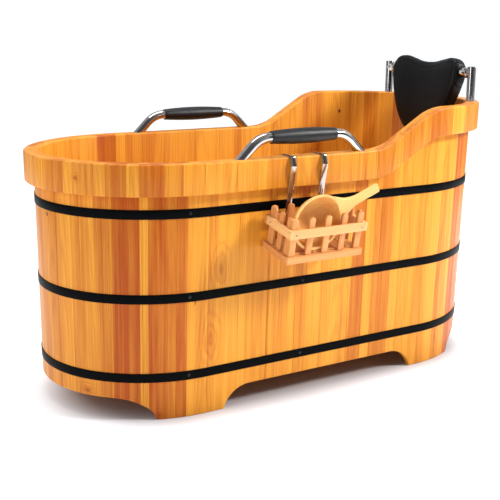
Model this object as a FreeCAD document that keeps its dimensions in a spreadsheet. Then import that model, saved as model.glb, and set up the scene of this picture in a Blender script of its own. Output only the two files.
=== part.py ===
import FreeCAD, Part
import math
import os
from types import SimpleNamespace
import Sketcher
from FreeCAD import Placement, Rotation, Vector

# Coopered wooden soaking tub with a raised head end, two handles, a head cushion,
# and a picket basket with a ladle hung over the near rim.
# Millimetres. +X points to the head end, -Y to the side with the basket, +Z up.
# Pieces are worked out about the tub's own middle, and the whole part is moved at the
# end so that the origin lies under the middle of its outer box.

SIZES = (
    ("rim_length", 1500, "outside length over the rim"),
    ("rim_width", 680, "outside width over the rim"),
    ("rim_height", 695, "height of the low rim"),
    ("rim_rise", 113, "how much higher the head end is"),
    ("end_length", 350, "length of one rounded end, without the rim blocks"),
    ("wall_taper", 0.022, "how far each wall leans in, per millimetre of height"),
    ("side_staves", 8, "staves along one straight side"),
    ("end_staves", 12, "staves round one end"),
    ("stave_thickness", 18, "thickness of a stave"),
    ("band_thickness", 26, "thickness of the rim blocks"),
    ("band_height", 83, "height of the rim blocks"),
    ("block_stagger_share", 0.7, "offset of the rim blocks' joints, of one stave"),
    ("glue_gap", 0.2, "glue line"),
    ("ramp_setback", 186, "foot of the ramp's line, back from the straight side's head end"),
    ("ramp_angle", 30.8, "slope of the ramp in degrees"),
    ("ramp_radius", 170, "bend at the foot and the top of the ramp"),
    ("arch_height", 60, "height of the arches between the feet"),
    ("foot_end_tread", 56, "length of the foot end's feet along the straight side"),
    ("head_end_tread", 24, "length of the head end's feet along the straight side"),
    ("side_arch_radius", 85, "corner of the side arches"),
    ("foot_end_corner", 42, "side wall to the foot end's arch, across"),
    ("head_end_corner", 55, "side wall to the head end's arch, across"),
    ("end_arch_radius", 57, "corner of the end arches"),
    ("floor_underside", 92, "height of the floor boards' underside"),
    ("floor_thickness", 22, "thickness of the floor boards"),
    ("floor_boards", 6, "number of floor boards"),
    ("board_gap", 0.3, "gap between floor boards"),
    ("groove_depth", 6, "depth of the groove that holds the floor"),
    ("groove_gap", 0.2, "clearance of the floor in its groove"),
    ("batten_width", 50, "width of a batten under the floor"),
    ("batten_height", 30, "height of a batten"),
    ("batten_setback", 134, "middle of a batten, back from the straight side's end"),
    ("batten_gap", 3, "gap between a batten's end and the wall"),
    ("hoop_width", 25, "width of a steel hoop"),
    ("hoop_thickness", 2, "thickness of a steel hoop"),
    ("hoop_gap", 0.05, "clearance of a hoop round the staves"),
    ("hoop_top_drop", 133, "top hoop's middle below the low rim"),
    ("hoop_middle_share", 0.49, "place of the middle hoop, from the bottom one to the top one"),
    ("hoop_bottom_height", 119, "height of the bottom hoop's middle"),
    ("side_screw_staves", 3.25, "place of the side screws, in staves along a side"),
    ("end_screw_staves", 0.6, "place of the foot end's screws, in staves past the side"),
    ("screw_head", 9, "diameter of a hoop screw's head"),
    ("screw_head_rise", 2.4, "height of a hoop screw's head"),
    ("screw_shank", 4, "diameter of a hoop screw's shank"),
    ("screw_length", 14, "length of a hoop screw's shank"),
    ("screw_gap", 0.05, "clearance round a hoop screw"),
    ("tube_diameter", 28, "handle tube"),
    ("tube_wall", 1.5, "wall of the steel tubes"),
    ("handle_middle", -89, "middle of the handles, along X"),
    ("handle_span", 388, "distance between a handle's feet, on the rim"),
    ("handle_rise", 53, "height of the tube's middle line over the rim"),
    ("handle_leg_angle", 45, "slope of a handle's legs in degrees"),
    ("handle_radius", 80, "bend of the handle tube"),
    ("socket_depth", 42, "depth of a handle's socket along the leg"),
    ("socket_gap", 0.15, "glue line round a tube in its socket"),
    ("grip_setback", 0.9, "end of a grip from the tube's bend"),
    ("grip_end_diameter", 34, "grip, at its ends"),
    ("grip_middle_diameter", 43, "grip, in its middle"),
    ("grip_rounding", 3, "rounding of a grip's ends"),
    ("grip_gap", 0.1, "clearance of a grip on its tube"),
    ("post_diameter", 26, "headrest post and pivot bar"),
    ("post_inset", 0.5, "middle of a post inside the staves' outer face"),
    ("post_spacing", 404, "distance between the posts"),
    ("post_height", 110, "height of a post over the head end's rim"),
    ("post_depth", 40, "depth of a post's socket"),
    ("pivot_drop", 21, "pivot's middle line under the posts' tops"),
    ("pivot_gap", 0.06, "running clearance of the sleeve on the bar"),
    ("sleeve_wall", 2, "wall of the cushion's sleeve"),
    ("sleeve_reach", 4, "how far the sleeve stands out of the cushion"),
    ("collar_diameter", 34, "stop collar on the pivot bar"),
    ("collar_gap", 0.3, "gap between sleeve, collar and post"),
    ("cushion_room", 44, "cushion's side to the middle of a post"),
    ("cushion_fall", 218, "cushion below its pivot"),
    ("cushion_lobe_rise", 45, "cushion above its pivot, at the lobes"),
    ("cushion_thickness", 60, "thickness of the lobes"),
    ("cushion_lean", 8.6, "lean of the cushion in degrees"),
    ("basket_middle", -87, "middle of the basket, along X"),
    ("basket_drop", 246, "place where the basket rests on the staves, below the low rim"),
    ("basket_width", 246, "width of the basket's base"),
    ("basket_depth", 125, "depth of the basket's base"),
    ("rest_gap", 0.3, "gap of pieces that only lean or stand on others"),
    ("base_rail_width", 20, "base rail, across"),
    ("base_rail_height", 19, "base rail, upright"),
    ("picket_width", 19, "width of a picket"),
    ("picket_thickness", 7, "thickness of a picket"),
    ("picket_length", 106, "length of a picket"),
    ("picket_crown", 4, "rise of a picket's rounded top"),
    ("picket_inset", 7, "pickets inside the base's edge"),
    ("face_pickets", 5, "pickets in the front and in the back"),
    ("side_pickets", 3, "pickets in each side"),
    ("top_rail_thickness", 10, "top rail, across"),
    ("top_rail_height", 24, "top rail, upright"),
    ("top_rail_level", 72, "underside of the top rails above the basket's base"),
    ("slat_width", 31, "width of a base slat"),
    ("slat_thickness", 6, "thickness of a base slat"),
    ("slat_count", 6, "number of base slats"),
    ("slat_gap", 0.3, "gap round the base slats"),
    ("small_head", 5.5, "diameter of a basket screw's head"),
    ("small_head_rise", 1.3, "height of a basket screw's head"),
    ("small_shank", 2.6, "diameter of a basket screw's shank"),
    ("hook_width", 17, "width of a hook's strap"),
    ("hook_thickness", 2, "thickness of a hook's strap"),
    ("hook_spacing", 103, "distance between the hooks"),
    ("hook_radius", 4, "bends of a hook's middle line"),
    ("hook_fold", 24, "lower fold of a hook, below the low rim"),
    ("hook_clearance", 2, "upper fold of a hook outside the rim blocks"),
    ("hook_tail", 8, "strap below the back top rail"),
    ("ladle_diameter", 160, "ladle's bowl, outside"),
    ("ladle_depth", 52, "depth of the ladle's bowl, outside"),
    ("ladle_wall", 5, "wall of the ladle's bowl"),
    ("ladle_place", -29, "bowl's middle from the basket's middle"),
    ("ladle_reach", 205, "bowl's middle to the end of the handle"),
    ("ladle_angle", 23.5, "slope of the ladle's handle in degrees"),
    ("ladle_handle_width", 25, "width of the ladle's handle"),
    ("ladle_handle_thickness", 14, "thickness of the ladle's handle"),
    ("ladle_neck_half", 44, "half the neck's width where it meets the bowl"),
    ("ladle_neck_length", 62, "length of the neck outside the bowl"),
    ("drain_setback", 160, "drain's middle from the rim's foot end"),
    ("drain_bore", 34, "bore of the drain body"),
    ("drain_thread", 40, "outside of the drain body"),
    ("drain_reach", 40, "height of the drain body's lower end"),
    ("spigot_diameter", 38, "outside of the drain's plain lower end"),
    ("spigot_length", 38, "length of the drain's plain lower end"),
    ("drain_flange", 70, "diameter of the drain flange"),
    ("flange_thickness", 3, "thickness of the drain flange"),
    ("seal_thickness", 2, "thickness of the drain seal"),
    ("seal_width", 12, "width of the drain seal"),
    ("nut_width", 56, "lock nut across its corners"),
    ("nut_height", 11, "height of the lock nut"),
    ("thread_gap", 0.05, "clearance on the drain body"),
    ("drain_hole_gap", 1, "clearance of the hole in the floor"),
    ("plug_head", 46, "diameter of the plug's head"),
    ("plug_head_height", 5, "height of the plug's head"),
    ("plug_stem", 12, "length of the plug's stem"),
    ("plug_knob", 14, "diameter of the plug's knob"),
    ("plug_knob_height", 12, "height of the plug's knob"),
    ("plug_gap", 0.08, "running clearance of the plug"),
    ("overrun", 5, "how far cutters run past what they cut"),
)

doc = FreeCAD.newDocument("soaking_tub")
sheet = doc.addObject("Spreadsheet::Sheet", "sizes")
for row, (alias, number, meaning) in enumerate(SIZES, 1):
    sheet.set(f"A{row}", meaning)
    sheet.set(f"B{row}", str(number))
    sheet.setAlias(f"B{row}", alias)
doc.recompute()
s = SimpleNamespace(**{alias: float(sheet.get(alias)) for alias, number, meaning in SIZES})

side_count = int(s.side_staves)
end_count = int(s.end_staves)
stave_total = 2 * (side_count + end_count)
half_width = s.rim_width / 2 - s.band_thickness
side_half = s.rim_length / 2 - s.band_thickness - s.end_length
head_height = s.rim_height + s.rim_rise
floor_top = s.floor_underside + s.floor_thickness
wall_middle = (s.band_thickness - s.stave_thickness) / 2
ramp_start = side_half - s.ramp_setback
drain_place = s.drain_setback - s.rim_length / 2
half_spacing = s.post_spacing / 2
post_share = half_spacing / (half_width - s.post_inset)
post_place = side_half + (s.end_length - s.post_inset) * math.sqrt(1 - post_share * post_share)
nodes = []


def keep(piece, label):
    """Names a piece as a sub-part of the tub."""
    piece.Label = label
    nodes.append(piece)
    return piece


def feature(label, shape, placement=Placement()):
    """Sub-part whose shape is worked out here."""
    piece = doc.addObject("Part::Feature", label)
    piece.Shape = shape
    piece.Placement = placement
    return keep(piece, label)


def primitive(kind, name, **formulas):
    """Box, cylinder or prism with its sizes bound to the sheet."""
    piece = doc.addObject(kind, name)
    for key, formula in formulas.items():
        piece.setExpression(key, formula)
    return piece


def box(name, length, width, height, placement):
    """Box bound to the sheet, at a placement."""
    piece = primitive("Part::Box", name, Length=length, Width=width, Height=height)
    piece.Placement = placement
    return piece


def turned(label, corners, placement=Placement()):
    """Body turned about its own Z axis from a profile of radius and height formulas."""
    body = doc.addObject("PartDesign::Body", label)
    sketch = body.newObject("Sketcher::SketchObject", label + "_profile")
    plane = next(f for f in body.Origin.OriginFeatures if f.Role == "XZ_Plane")
    sketch.AttachmentSupport = [(plane, "")]
    sketch.MapMode = "FlatFace"
    places = [(sheet.evalExpression(a), sheet.evalExpression(b)) for a, b in corners]
    points = [Vector(float(a), float(b), 0) for a, b in places]
    count = len(points)
    for index in range(count):
        sketch.addGeometry(Part.LineSegment(points[index], points[(index + 1) % count]))
    for index in range(count):
        sketch.addConstraint(Sketcher.Constraint("Coincident", index, 2, (index + 1) % count, 1))
    for index, formulas in enumerate(corners):
        for kind, axis, formula, at in zip(
            ("DistanceX", "DistanceY"), (-2, -1), formulas, (points[index].x, points[index].y)
        ):
            if formula == "0":
                sketch.addConstraint(Sketcher.Constraint("PointOnObject", index, 1, axis))
                continue
            number = sketch.addConstraint(Sketcher.Constraint(kind, index, 1, at))
            sketch.setExpression(f"Constraints[{number}]", formula)
    turn = body.newObject("PartDesign::Revolution", label + "_turn")
    turn.Profile = sketch
    turn.ReferenceAxis = (sketch, ["V_Axis"])
    turn.Angle = 360
    body.Placement = placement
    return keep(body, label)


def line(start, end):
    return Part.LineSegment(start, end).toShape()


def arc(start, middle, end):
    return Part.Arc(start, middle, end).toShape()


def prism(edges, along):
    """Solid that carries a closed flat outline along a vector."""
    return Part.Face(Part.Wire(edges)).extrude(along)


def shell_of(path, radius, wall):
    """Tube of an outside radius and a wall along a path of lines and arcs."""
    start = path.Edges[0].Curve.value(path.Edges[0].FirstParameter)
    ahead = path.Edges[0].tangentAt(path.Edges[0].FirstParameter)
    solids = []
    for size in (radius, radius - wall):
        ring = Part.Wire([Part.makeCircle(size, start, ahead)])
        solids.append(path.makePipeShell([ring], True, False))
    return solids[0].cut(solids[1])


def cut_all(shape, cutters):
    """Shape less every cutter that reaches it."""
    for cutter in cutters:
        if shape.BoundBox.intersect(cutter.BoundBox):
            shape = shape.cut(cutter)
    return shape


# The tub's outline: straight sides and half-ellipse ends, drawn in by the taper

def on_path(place, height, grow):
    """Point `grow` outside the staves; `place` counts staves from the near side's foot end."""
    inset = s.wall_taper * (s.rim_height - height)
    long_axis = s.end_length - inset + grow
    wide_axis = half_width - inset + grow
    place = place % stave_total
    step = 2 * side_half / side_count
    if place <= side_count:
        return Vector(place * step - side_half, -wide_axis, height)
    place -= side_count
    if place < end_count:
        turn = math.radians(180 * place / end_count - 90)
        return Vector(side_half + long_axis * math.cos(turn), wide_axis * math.sin(turn), height)
    place -= end_count
    if place <= side_count:
        return Vector(side_half - place * step, wide_axis, height)
    turn = math.radians(180 * (place - side_count) / end_count + 90)
    return Vector(long_axis * math.cos(turn) - side_half, wide_axis * math.sin(turn), height)


corners_of_path = (side_count, side_count + end_count, stave_total - end_count, stave_total)


def path_edges(start, end, height, grow):
    """Lines and arcs of the outline between two places, cut where sides meet ends."""
    inside = [place for place in corners_of_path if start < place < end]
    stops = [start, *inside, end]
    edges = []
    for low, high in zip(stops, stops[1:]):
        middle = (low + high) / 2
        first, last = on_path(low, height, grow), on_path(high, height, grow)
        around = middle % stave_total
        on_side = around < side_count or corners_of_path[1] < around < corners_of_path[2]
        if on_side:
            edges.append(line(first, last))
        else:
            edges.append(arc(first, on_path(middle, height, grow), last))
    return edges


def wall_solid(start, end, low, high, inner, outer):
    """Piece of wall between two places, two heights and two growths, with ruled faces."""
    rings = []
    for height in (low, high):
        edges = path_edges(start, end, height, outer)
        edges.append(line(on_path(end, height, outer), on_path(end, height, inner)))
        edges += path_edges(start, end, height, inner)
        edges.append(line(on_path(start, height, inner), on_path(start, height, outer)))
        rings.append(Part.Wire(Part.__sortEdges__(edges)))
    return Part.makeLoft(rings, True, True)


def round_solid(low, high, grow):
    """Solid inside the whole outline between two heights."""
    rings = []
    for height in (low, high):
        edges = []
        for place in range(stave_total):
            edges += path_edges(place, place + 1, height, grow)
        rings.append(Part.Wire(edges))
    return Part.makeLoft(rings, True, True)


# The rim's line seen from the side: low, a ramp between two round bends, high

ramp = math.radians(s.ramp_angle)
ramp_tangent = s.ramp_radius * math.tan(ramp / 2)
ramp_end = ramp_start + s.rim_rise / math.tan(ramp)
reach = s.rim_length / 2 + s.overrun


def rim_line(drop):
    """Edges of the rim's top line, lowered by `drop`, from the foot end to the head end."""
    y = -s.rim_width
    bend = Vector(ramp_start - ramp_tangent, y, s.rim_height - drop + s.ramp_radius)
    crest = Vector(ramp_end + ramp_tangent, y, head_height - drop - s.ramp_radius)

    def round_bend(share):
        angle = ramp * share
        return bend + Vector(math.sin(angle), 0, -math.cos(angle)) * s.ramp_radius

    def round_crest(share):
        angle = ramp * share
        return crest + Vector(-math.sin(angle), 0, math.cos(angle)) * s.ramp_radius

    foot = Vector(-reach, y, s.rim_height - drop)
    head = Vector(reach, y, head_height - drop)
    return [
        line(foot, round_bend(0)),
        arc(round_bend(0), round_bend(0.5), round_bend(1)),
        line(round_bend(1), round_crest(1)),
        arc(round_crest(1), round_crest(0.5), round_crest(0)),
        line(round_crest(0), head),
    ]


across = Vector(0, 2 * s.rim_width, 0)
y_edge = -s.rim_width
ground_foot = Vector(-reach, y_edge, -s.overrun)
ground_head = Vector(reach, y_edge, -s.overrun)
rim_top = rim_line(0)
band_foot = rim_line(s.band_height)
below_rim = prism(
    rim_top
    + [
        line(Vector(reach, y_edge, head_height), ground_head),
        line(ground_head, ground_foot),
        line(ground_foot, Vector(-reach, y_edge, s.rim_height)),
    ],
    across,
)
in_band = prism(
    Part.__sortEdges__(
        rim_top
        + band_foot
        + [
            line(Vector(end, y_edge, level), Vector(end, y_edge, level - s.band_height))
            for end, level in ((-reach, s.rim_height), (reach, head_height))
        ]
    ),
    across,
)


def rim_span(start, end):
    """Lowest and highest X of a piece of wall, and so where the ramp crosses it."""
    xs = [on_path(start + (end - start) * share, s.rim_height, 0).x for share in (0, 0.5, 1)]
    return min(xs), max(xs)


def on_ramp(start, end):
    low, high = rim_span(start, end)
    return high > ramp_start - ramp_tangent and low < ramp_end + ramp_tangent


def at_head(start, end):
    return rim_span(start, end)[0] > ramp_start


# What is cut out of the wall: arches, the floor's groove, sockets and screw holes

def arch(low, high, radius, axis):
    """Outline of an arch with round corners, standing on the ground along an axis."""
    fall = math.sqrt(radius * radius - (radius - s.arch_height) ** 2)
    turn = math.acos((radius - s.arch_height) / radius) / 2
    side = radius * math.sin(turn)
    lift = s.arch_height - radius + radius * math.cos(turn)
    up = Vector(0, 0, 1)

    def at(place, height):
        return axis * place + up * height

    return [
        line(at(low, -s.overrun), at(low, 0)),
        arc(at(low, 0), at(low + fall - side, lift), at(low + fall, s.arch_height)),
        line(at(low + fall, s.arch_height), at(high - fall, s.arch_height)),
        arc(at(high - fall, s.arch_height), at(high - fall + side, lift), at(high, 0)),
        line(at(high, 0), at(high, -s.overrun)),
        line(at(high, -s.overrun), at(low, -s.overrun)),
    ]


along_x = Vector(1, 0, 0)
along_y = Vector(0, 1, 0)
side_arch = prism(
    arch(s.foot_end_tread - side_half, side_half - s.head_end_tread, s.side_arch_radius, along_x), across
)
side_arch.translate(Vector(0, y_edge, 0))
foot_half, head_half = half_width - s.foot_end_corner, half_width - s.head_end_corner
foot_arch = prism(arch(-foot_half, foot_half, s.end_arch_radius, along_y), along_x * -reach)
head_arch = prism(arch(-head_half, head_half, s.end_arch_radius, along_y), along_x * reach)
groove = round_solid(
    s.floor_underside - s.groove_gap,
    floor_top + s.groove_gap,
    s.groove_depth - s.stave_thickness,
)

rim_middle = half_width + wall_middle
leg_angle = math.radians(s.handle_leg_angle)
leg_ahead = Vector(math.cos(leg_angle), 0, math.sin(leg_angle))
leg_foot = Vector(s.handle_middle - s.handle_span / 2, 0, s.rim_height)
leg_end = leg_foot - leg_ahead * s.socket_depth


def mirror_x(point):
    """Point on the other half of a handle."""
    return Vector(2 * s.handle_middle - point.x, point.y, point.z)


def socket(side, end):
    """Bored socket of one handle leg; `end` 0 is the foot end, 1 the head end."""
    deep = leg_end - leg_ahead * s.socket_gap
    length = s.socket_depth + s.tube_diameter + s.overrun
    start, ahead = deep, leg_ahead
    if end:
        start = mirror_x(deep)
        ahead = Vector(-leg_ahead.x, 0, leg_ahead.z)
    start = start + Vector(0, side * rim_middle, 0)
    return Part.makeCylinder(s.tube_diameter / 2 + s.socket_gap, length, start, ahead)


def post_socket(side):
    """Upright socket of one headrest post."""
    deep = head_height - s.post_depth - s.socket_gap
    middle = Vector(post_place, side * half_spacing, deep)
    return Part.makeCylinder(s.post_diameter / 2 + s.socket_gap, s.post_depth + s.overrun, middle)


top_hoop = s.rim_height - s.hoop_top_drop
middle_hoop = s.hoop_bottom_height + (top_hoop - s.hoop_bottom_height) * s.hoop_middle_share
hoops = (
    ("hoop_top", top_hoop),
    ("hoop_middle", middle_hoop),
    ("hoop_bottom", s.hoop_bottom_height),
)
screw_places = (
    s.side_screw_staves,
    corners_of_path[2] - s.side_screw_staves,
    corners_of_path[2] + s.end_screw_staves,
    stave_total - s.end_screw_staves,
)


def screw_frame(place, height):
    """Placement on the outside of a hoop with its Z axis square to the leaning wall."""
    grow = s.hoop_gap + s.hoop_thickness
    half = s.screw_head / 2
    aside = half * side_count / (2 * side_half)
    here = on_path(place, height, grow)
    ahead = on_path(place + aside, height, grow) - on_path(place - aside, height, grow)
    upward = on_path(place, height + half, grow) - on_path(place, height - half, grow)
    return Placement(here, Rotation(Vector(0, 0, 1), ahead.cross(upward).normalize()))


screw_frames = [screw_frame(place, height) for name, height in hoops for place in screw_places]


def screw_hole(frame):
    """Hole for a hoop screw's shank."""
    hole = Part.makeCylinder(
        s.screw_shank / 2 + s.screw_gap,
        s.screw_length + s.screw_gap + s.overrun,
        Vector(0, 0, -s.screw_length - s.screw_gap),
    )
    hole.Placement = frame
    return hole


def domed_screw(head, rise, shank, length):
    """Screw with a domed head on the XY plane and its shank below."""
    edge, crown, tip = Vector(head / 2, 0, 0), Vector(0, 0, rise), Vector(0, 0, -length)
    neck, end = Vector(shank / 2, 0, 0), Vector(shank / 2, 0, -length)
    brow = (edge + crown) * math.sqrt(0.5)
    profile = [
        arc(crown, brow, edge),
        line(edge, neck),
        line(neck, end),
        line(end, tip),
        line(tip, crown),
    ]
    return Part.Face(Part.Wire(profile)).revolve(Vector(), Vector(0, 0, 1), 360)


sockets = [socket(side, end) for side in (-1, 1) for end in (0, 1)]
sockets += [post_socket(side) for side in (-1, 1)]
screw_holes = [screw_hole(frame) for frame in screw_frames]
stave_cutters = [groove, side_arch, foot_arch, head_arch, *sockets, *screw_holes]


# Staves and rim blocks, in groups by their place

def stave(start, end):
    """One stave, from the ground to the rim's line."""
    top = head_height if at_head(start, end) else s.rim_height
    if on_ramp(start, end):
        tall = wall_solid(start, end, 0, head_height + s.overrun, -s.stave_thickness, 0)
        return cut_all(tall.common(below_rim), stave_cutters)
    return cut_all(wall_solid(start, end, 0, top, -s.stave_thickness, 0), stave_cutters)


def rim_block(start, end):
    """One rim block, glued on the outside of the staves' tops."""
    top = head_height if at_head(start, end) else s.rim_height
    foot = top - s.band_height
    if on_ramp(start, end):
        foot = s.rim_height - s.band_height - s.overrun
        tall = wall_solid(start, end, foot, head_height + s.overrun, s.glue_gap, s.band_thickness)
        return cut_all(tall.common(in_band), sockets)
    return cut_all(wall_solid(start, end, foot, top, s.glue_gap, s.band_thickness), sockets)


places = (
    ("near_side", 0, side_count),
    ("head_end", side_count, end_count),
    ("far_side", side_count + end_count, side_count),
    ("foot_end", corners_of_path[2], end_count),
)
for place_name, first, count in places:
    solids = [stave(first + index, first + index + 1) for index in range(count)]
    feature("staves_" + place_name, Part.makeCompound(solids))
for place_name, first, count in places:
    shift = first + s.block_stagger_share
    solids = [rim_block(shift + index, shift + index + 1) for index in range(count)]
    feature("rim_blocks_" + place_name, Part.makeCompound(solids))


# Floor boards in the groove, two battens below them

floor = round_solid(
    s.floor_underside, floor_top, s.groove_depth - s.stave_thickness - s.groove_gap
)
drain_hole = Part.makeCylinder(
    s.drain_thread / 2 + s.drain_hole_gap,
    s.floor_thickness + 2 * s.overrun,
    Vector(drain_place, 0, s.floor_underside - s.overrun),
)
floor_width = floor.BoundBox.YLength
board_step = floor_width / s.floor_boards
for index in range(int(s.floor_boards)):
    low = index * board_step - floor_width / 2
    slab = Part.makeBox(
        2 * reach,
        board_step - s.board_gap,
        s.floor_thickness + 2 * s.overrun,
        Vector(-reach, low + s.board_gap / 2, s.floor_underside - s.overrun),
    )
    board = floor.common(slab).cut(drain_hole)
    feature(f"floor_board_{index + 1}", board)

inner_half = "sizes.rim_width / 2 - sizes.band_thickness - sizes.stave_thickness"
batten_inset = "sizes.wall_taper * (sizes.rim_height - sizes.floor_underside + sizes.batten_height)"
batten_length = f"2 * ({inner_half} - {batten_inset} - sizes.batten_gap)"
batten_place = side_half - s.batten_setback
for batten_name, place in (("foot", -batten_place), ("head", batten_place)):
    batten = box(
        f"floor_batten_{batten_name}",
        "sizes.batten_width",
        batten_length,
        "sizes.batten_height",
        Placement(),
    )
    half_length = float(sheet.evalExpression(batten_length)) / 2
    batten.Placement.Base = Vector(
        place - s.batten_width / 2, -half_length, s.floor_underside - s.batten_height
    )
    keep(batten, batten.Name)


# Hoops and their screws

for hoop_name, height in hoops:
    low, high = height - s.hoop_width / 2, height + s.hoop_width / 2
    ring = round_solid(low, high, s.hoop_gap + s.hoop_thickness)
    ring = ring.cut(round_solid(low, high, s.hoop_gap))
    feature(hoop_name, cut_all(ring, screw_holes))

screws = []
for frame in screw_frames:
    screw = domed_screw(s.screw_head, s.screw_head_rise, s.screw_shank, s.screw_length)
    screw.Placement = frame
    screws.append(screw)
feature("hoop_screws", Part.makeCompound(screws))


# Handles: a bent tube in two slanting sockets, with a foam grip

def handle_path():
    """Middle line of a handle in the XZ plane."""
    corner = leg_foot + leg_ahead * (s.handle_rise / math.sin(leg_angle))
    tangent = s.handle_radius * math.tan(leg_angle / 2)
    bend_start = corner - leg_ahead * tangent
    bend_end = corner + Vector(tangent, 0, 0)
    centre = bend_end - Vector(0, 0, s.handle_radius)
    half_turn = leg_angle / 2
    bend_middle = centre + Vector(-math.sin(half_turn), 0, math.cos(half_turn)) * s.handle_radius
    left = (leg_end, bend_start, bend_middle, bend_end)
    right = [mirror_x(point) for point in left]
    return Part.Wire([
        line(left[0], left[1]),
        arc(left[1], left[2], left[3]),
        line(left[3], right[3]),
        arc(right[3], right[2], right[1]),
        line(right[1], right[0]),
    ])


def grip_solid():
    """Barrel-shaped grip about the X axis, on the tube's straight top, with round ends."""
    bend = s.handle_radius * math.tan(leg_angle / 2) + s.handle_rise / math.tan(leg_angle)
    half = s.handle_span / 2 - bend - s.grip_setback
    bore = s.tube_diameter / 2 + s.grip_gap
    edge = s.grip_end_diameter / 2
    points = [Vector(-half, 0, bore), Vector(-half, 0, edge)]
    points += [Vector(half, 0, edge), Vector(half, 0, bore)]
    profile = [
        line(points[0], points[1]),
        arc(points[1], Vector(0, 0, s.grip_middle_diameter / 2), points[2]),
        line(points[2], points[3]),
        line(points[3], points[0]),
    ]
    solid = Part.Face(Part.Wire(profile)).revolve(Vector(), Vector(1, 0, 0), 360)
    rims = [
        e for e in solid.Edges
        if isinstance(e.Curve, Part.Circle) and abs(e.Curve.Radius - edge) < s.grip_gap
    ]
    return solid.makeFillet(s.grip_rounding, rims)


tube = shell_of(handle_path(), s.tube_diameter / 2, s.tube_wall)
grip = grip_solid()
for side_name, side in (("near", -1), ("far", 1)):
    feature(f"handle_tube_{side_name}", tube, Placement(Vector(0, side * rim_middle, 0), Rotation()))
for side_name, side in (("near", -1), ("far", 1)):
    middle = Vector(s.handle_middle, side * rim_middle, s.rim_height + s.handle_rise)
    feature(f"handle_grip_{side_name}", grip, Placement(middle, Rotation()))


# Headrest: two posts, a pivot bar with stop collars, and the cushion on its sleeve

post_radius = s.post_diameter / 2
pivot_height = head_height + s.post_height - s.pivot_drop
pivot = Vector(post_place, 0, pivot_height)
to_y = Rotation(Vector(0, 0, 1), Vector(0, 1, 0))
post_profile = [
    ("sizes.post_diameter / 2 - sizes.tube_wall", "-sizes.post_depth"),
    ("sizes.post_diameter / 2", "-sizes.post_depth"),
    ("sizes.post_diameter / 2", "sizes.post_height"),
    ("sizes.post_diameter / 2 - sizes.tube_wall", "sizes.post_height"),
]
for side_name, side in (("near", -1), ("far", 1)):
    top = Vector(post_place, side * half_spacing, head_height)
    turned(f"headrest_post_{side_name}", post_profile, Placement(top, Rotation()))

bar_path = Part.Wire([line(Vector(0, -half_spacing, 0), Vector(0, half_spacing, 0))])
bar = shell_of(bar_path, post_radius, s.tube_wall)
for side in (-1, 1):
    cope_foot = Vector(0, side * half_spacing, -post_radius)
    bar = bar.cut(Part.makeCylinder(post_radius, s.post_diameter, cope_foot))
feature("pivot_bar", bar, Placement(pivot, Rotation()))

cushion_half = half_spacing - s.cushion_room
sleeve_inner = "sizes.post_diameter / 2 + sizes.pivot_gap"
sleeve_outer = sleeve_inner + " + sizes.sleeve_wall"
sleeve_half = "(sizes.post_spacing / 2 - sizes.cushion_room + sizes.sleeve_reach)"
collar_start = f"({sleeve_half} + sizes.collar_gap)"
collar_end = "(sizes.post_spacing / 2 - sizes.post_diameter / 2 - sizes.collar_gap)"
collar_profile = [
    ("sizes.post_diameter / 2 + sizes.socket_gap", collar_start),
    ("sizes.collar_diameter / 2", collar_start),
    ("sizes.collar_diameter / 2", collar_end),
    ("sizes.post_diameter / 2 + sizes.socket_gap", collar_end),
]
for side_name, side in (("near", -1), ("far", 1)):
    facing = Rotation(Vector(0, 0, 1), Vector(0, side, 0))
    turned(f"pivot_collar_{side_name}", collar_profile, Placement(pivot, facing))
sleeve_profile = [
    (sleeve_inner, "-" + sleeve_half),
    (sleeve_outer, "-" + sleeve_half),
    (sleeve_outer, sleeve_half),
    (sleeve_inner, sleeve_half),
]
turned("cushion_sleeve", sleeve_profile, Placement(pivot, to_y))

# The cushion's upright sections across its width: place, top, bottom, thickness, all as shares.
# Of half a section's thickness, its shoulder and hem stand this far out, the hem narrows by
# the second share towards the low end, and its crown is this high.
SHOULDER_SHARE, HEM_SHARE, CROWN_SHARE = 0.82, 0.24, 0.70
CUSHION_SHARES = (
    (-1.00, 0.60, 0.20, 0.78),
    (-0.93, 0.84, 0.36, 0.94),
    (-0.76, 1.00, 0.66, 1.00),
    (-0.50, 0.86, 0.90, 0.92),
    (-0.22, 0.65, 0.99, 0.80),
    (0.00, 0.60, 1.00, 0.77),
)


def cushion_section(place, rise, fall, thick):
    """Closed outline of the cushion in a plane across its width."""
    y = place * cushion_half
    top = rise * s.cushion_lobe_rise
    low = -fall * s.cushion_fall
    middle = thick * s.cushion_thickness / 2
    shoulder = middle * SHOULDER_SHARE
    hem = middle * (SHOULDER_SHARE - HEM_SHARE * fall)
    crown = middle * CROWN_SHARE
    waist = (top + low) / 2
    front_top = Vector(-shoulder, y, top - crown)
    back_top = Vector(shoulder, y, top - crown)
    front_low = Vector(-hem, y, low + crown / 2)
    back_low = Vector(hem, y, low + crown / 2)
    return Part.Wire([
        arc(front_low, Vector(-middle, y, waist), front_top),
        arc(front_top, Vector(0, y, top), back_top),
        arc(back_top, Vector(middle, y, waist), back_low),
        arc(back_low, Vector(0, y, low), front_low),
    ])


def cushion_solid():
    """Crowned cushion with two lobes and a narrow lower end."""
    half = [cushion_section(*shares) for shares in CUSHION_SHARES]
    mirrored = [cushion_section(-place, *rest) for place, *rest in CUSHION_SHARES[-2::-1]]
    solid = Part.makeLoft(half + mirrored, True, False)
    bore_radius = post_radius + s.pivot_gap + s.sleeve_wall
    start = Vector(0, -cushion_half - s.overrun, 0)
    length = 2 * (cushion_half + s.overrun)
    bore = Part.makeCylinder(bore_radius, length, start, Vector(0, 1, 0))
    return solid.rotated(Vector(), Vector(0, 1, 0), s.cushion_lean).cut(bore)


feature("head_cushion", cushion_solid(), Placement(pivot, Rotation()))


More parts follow.
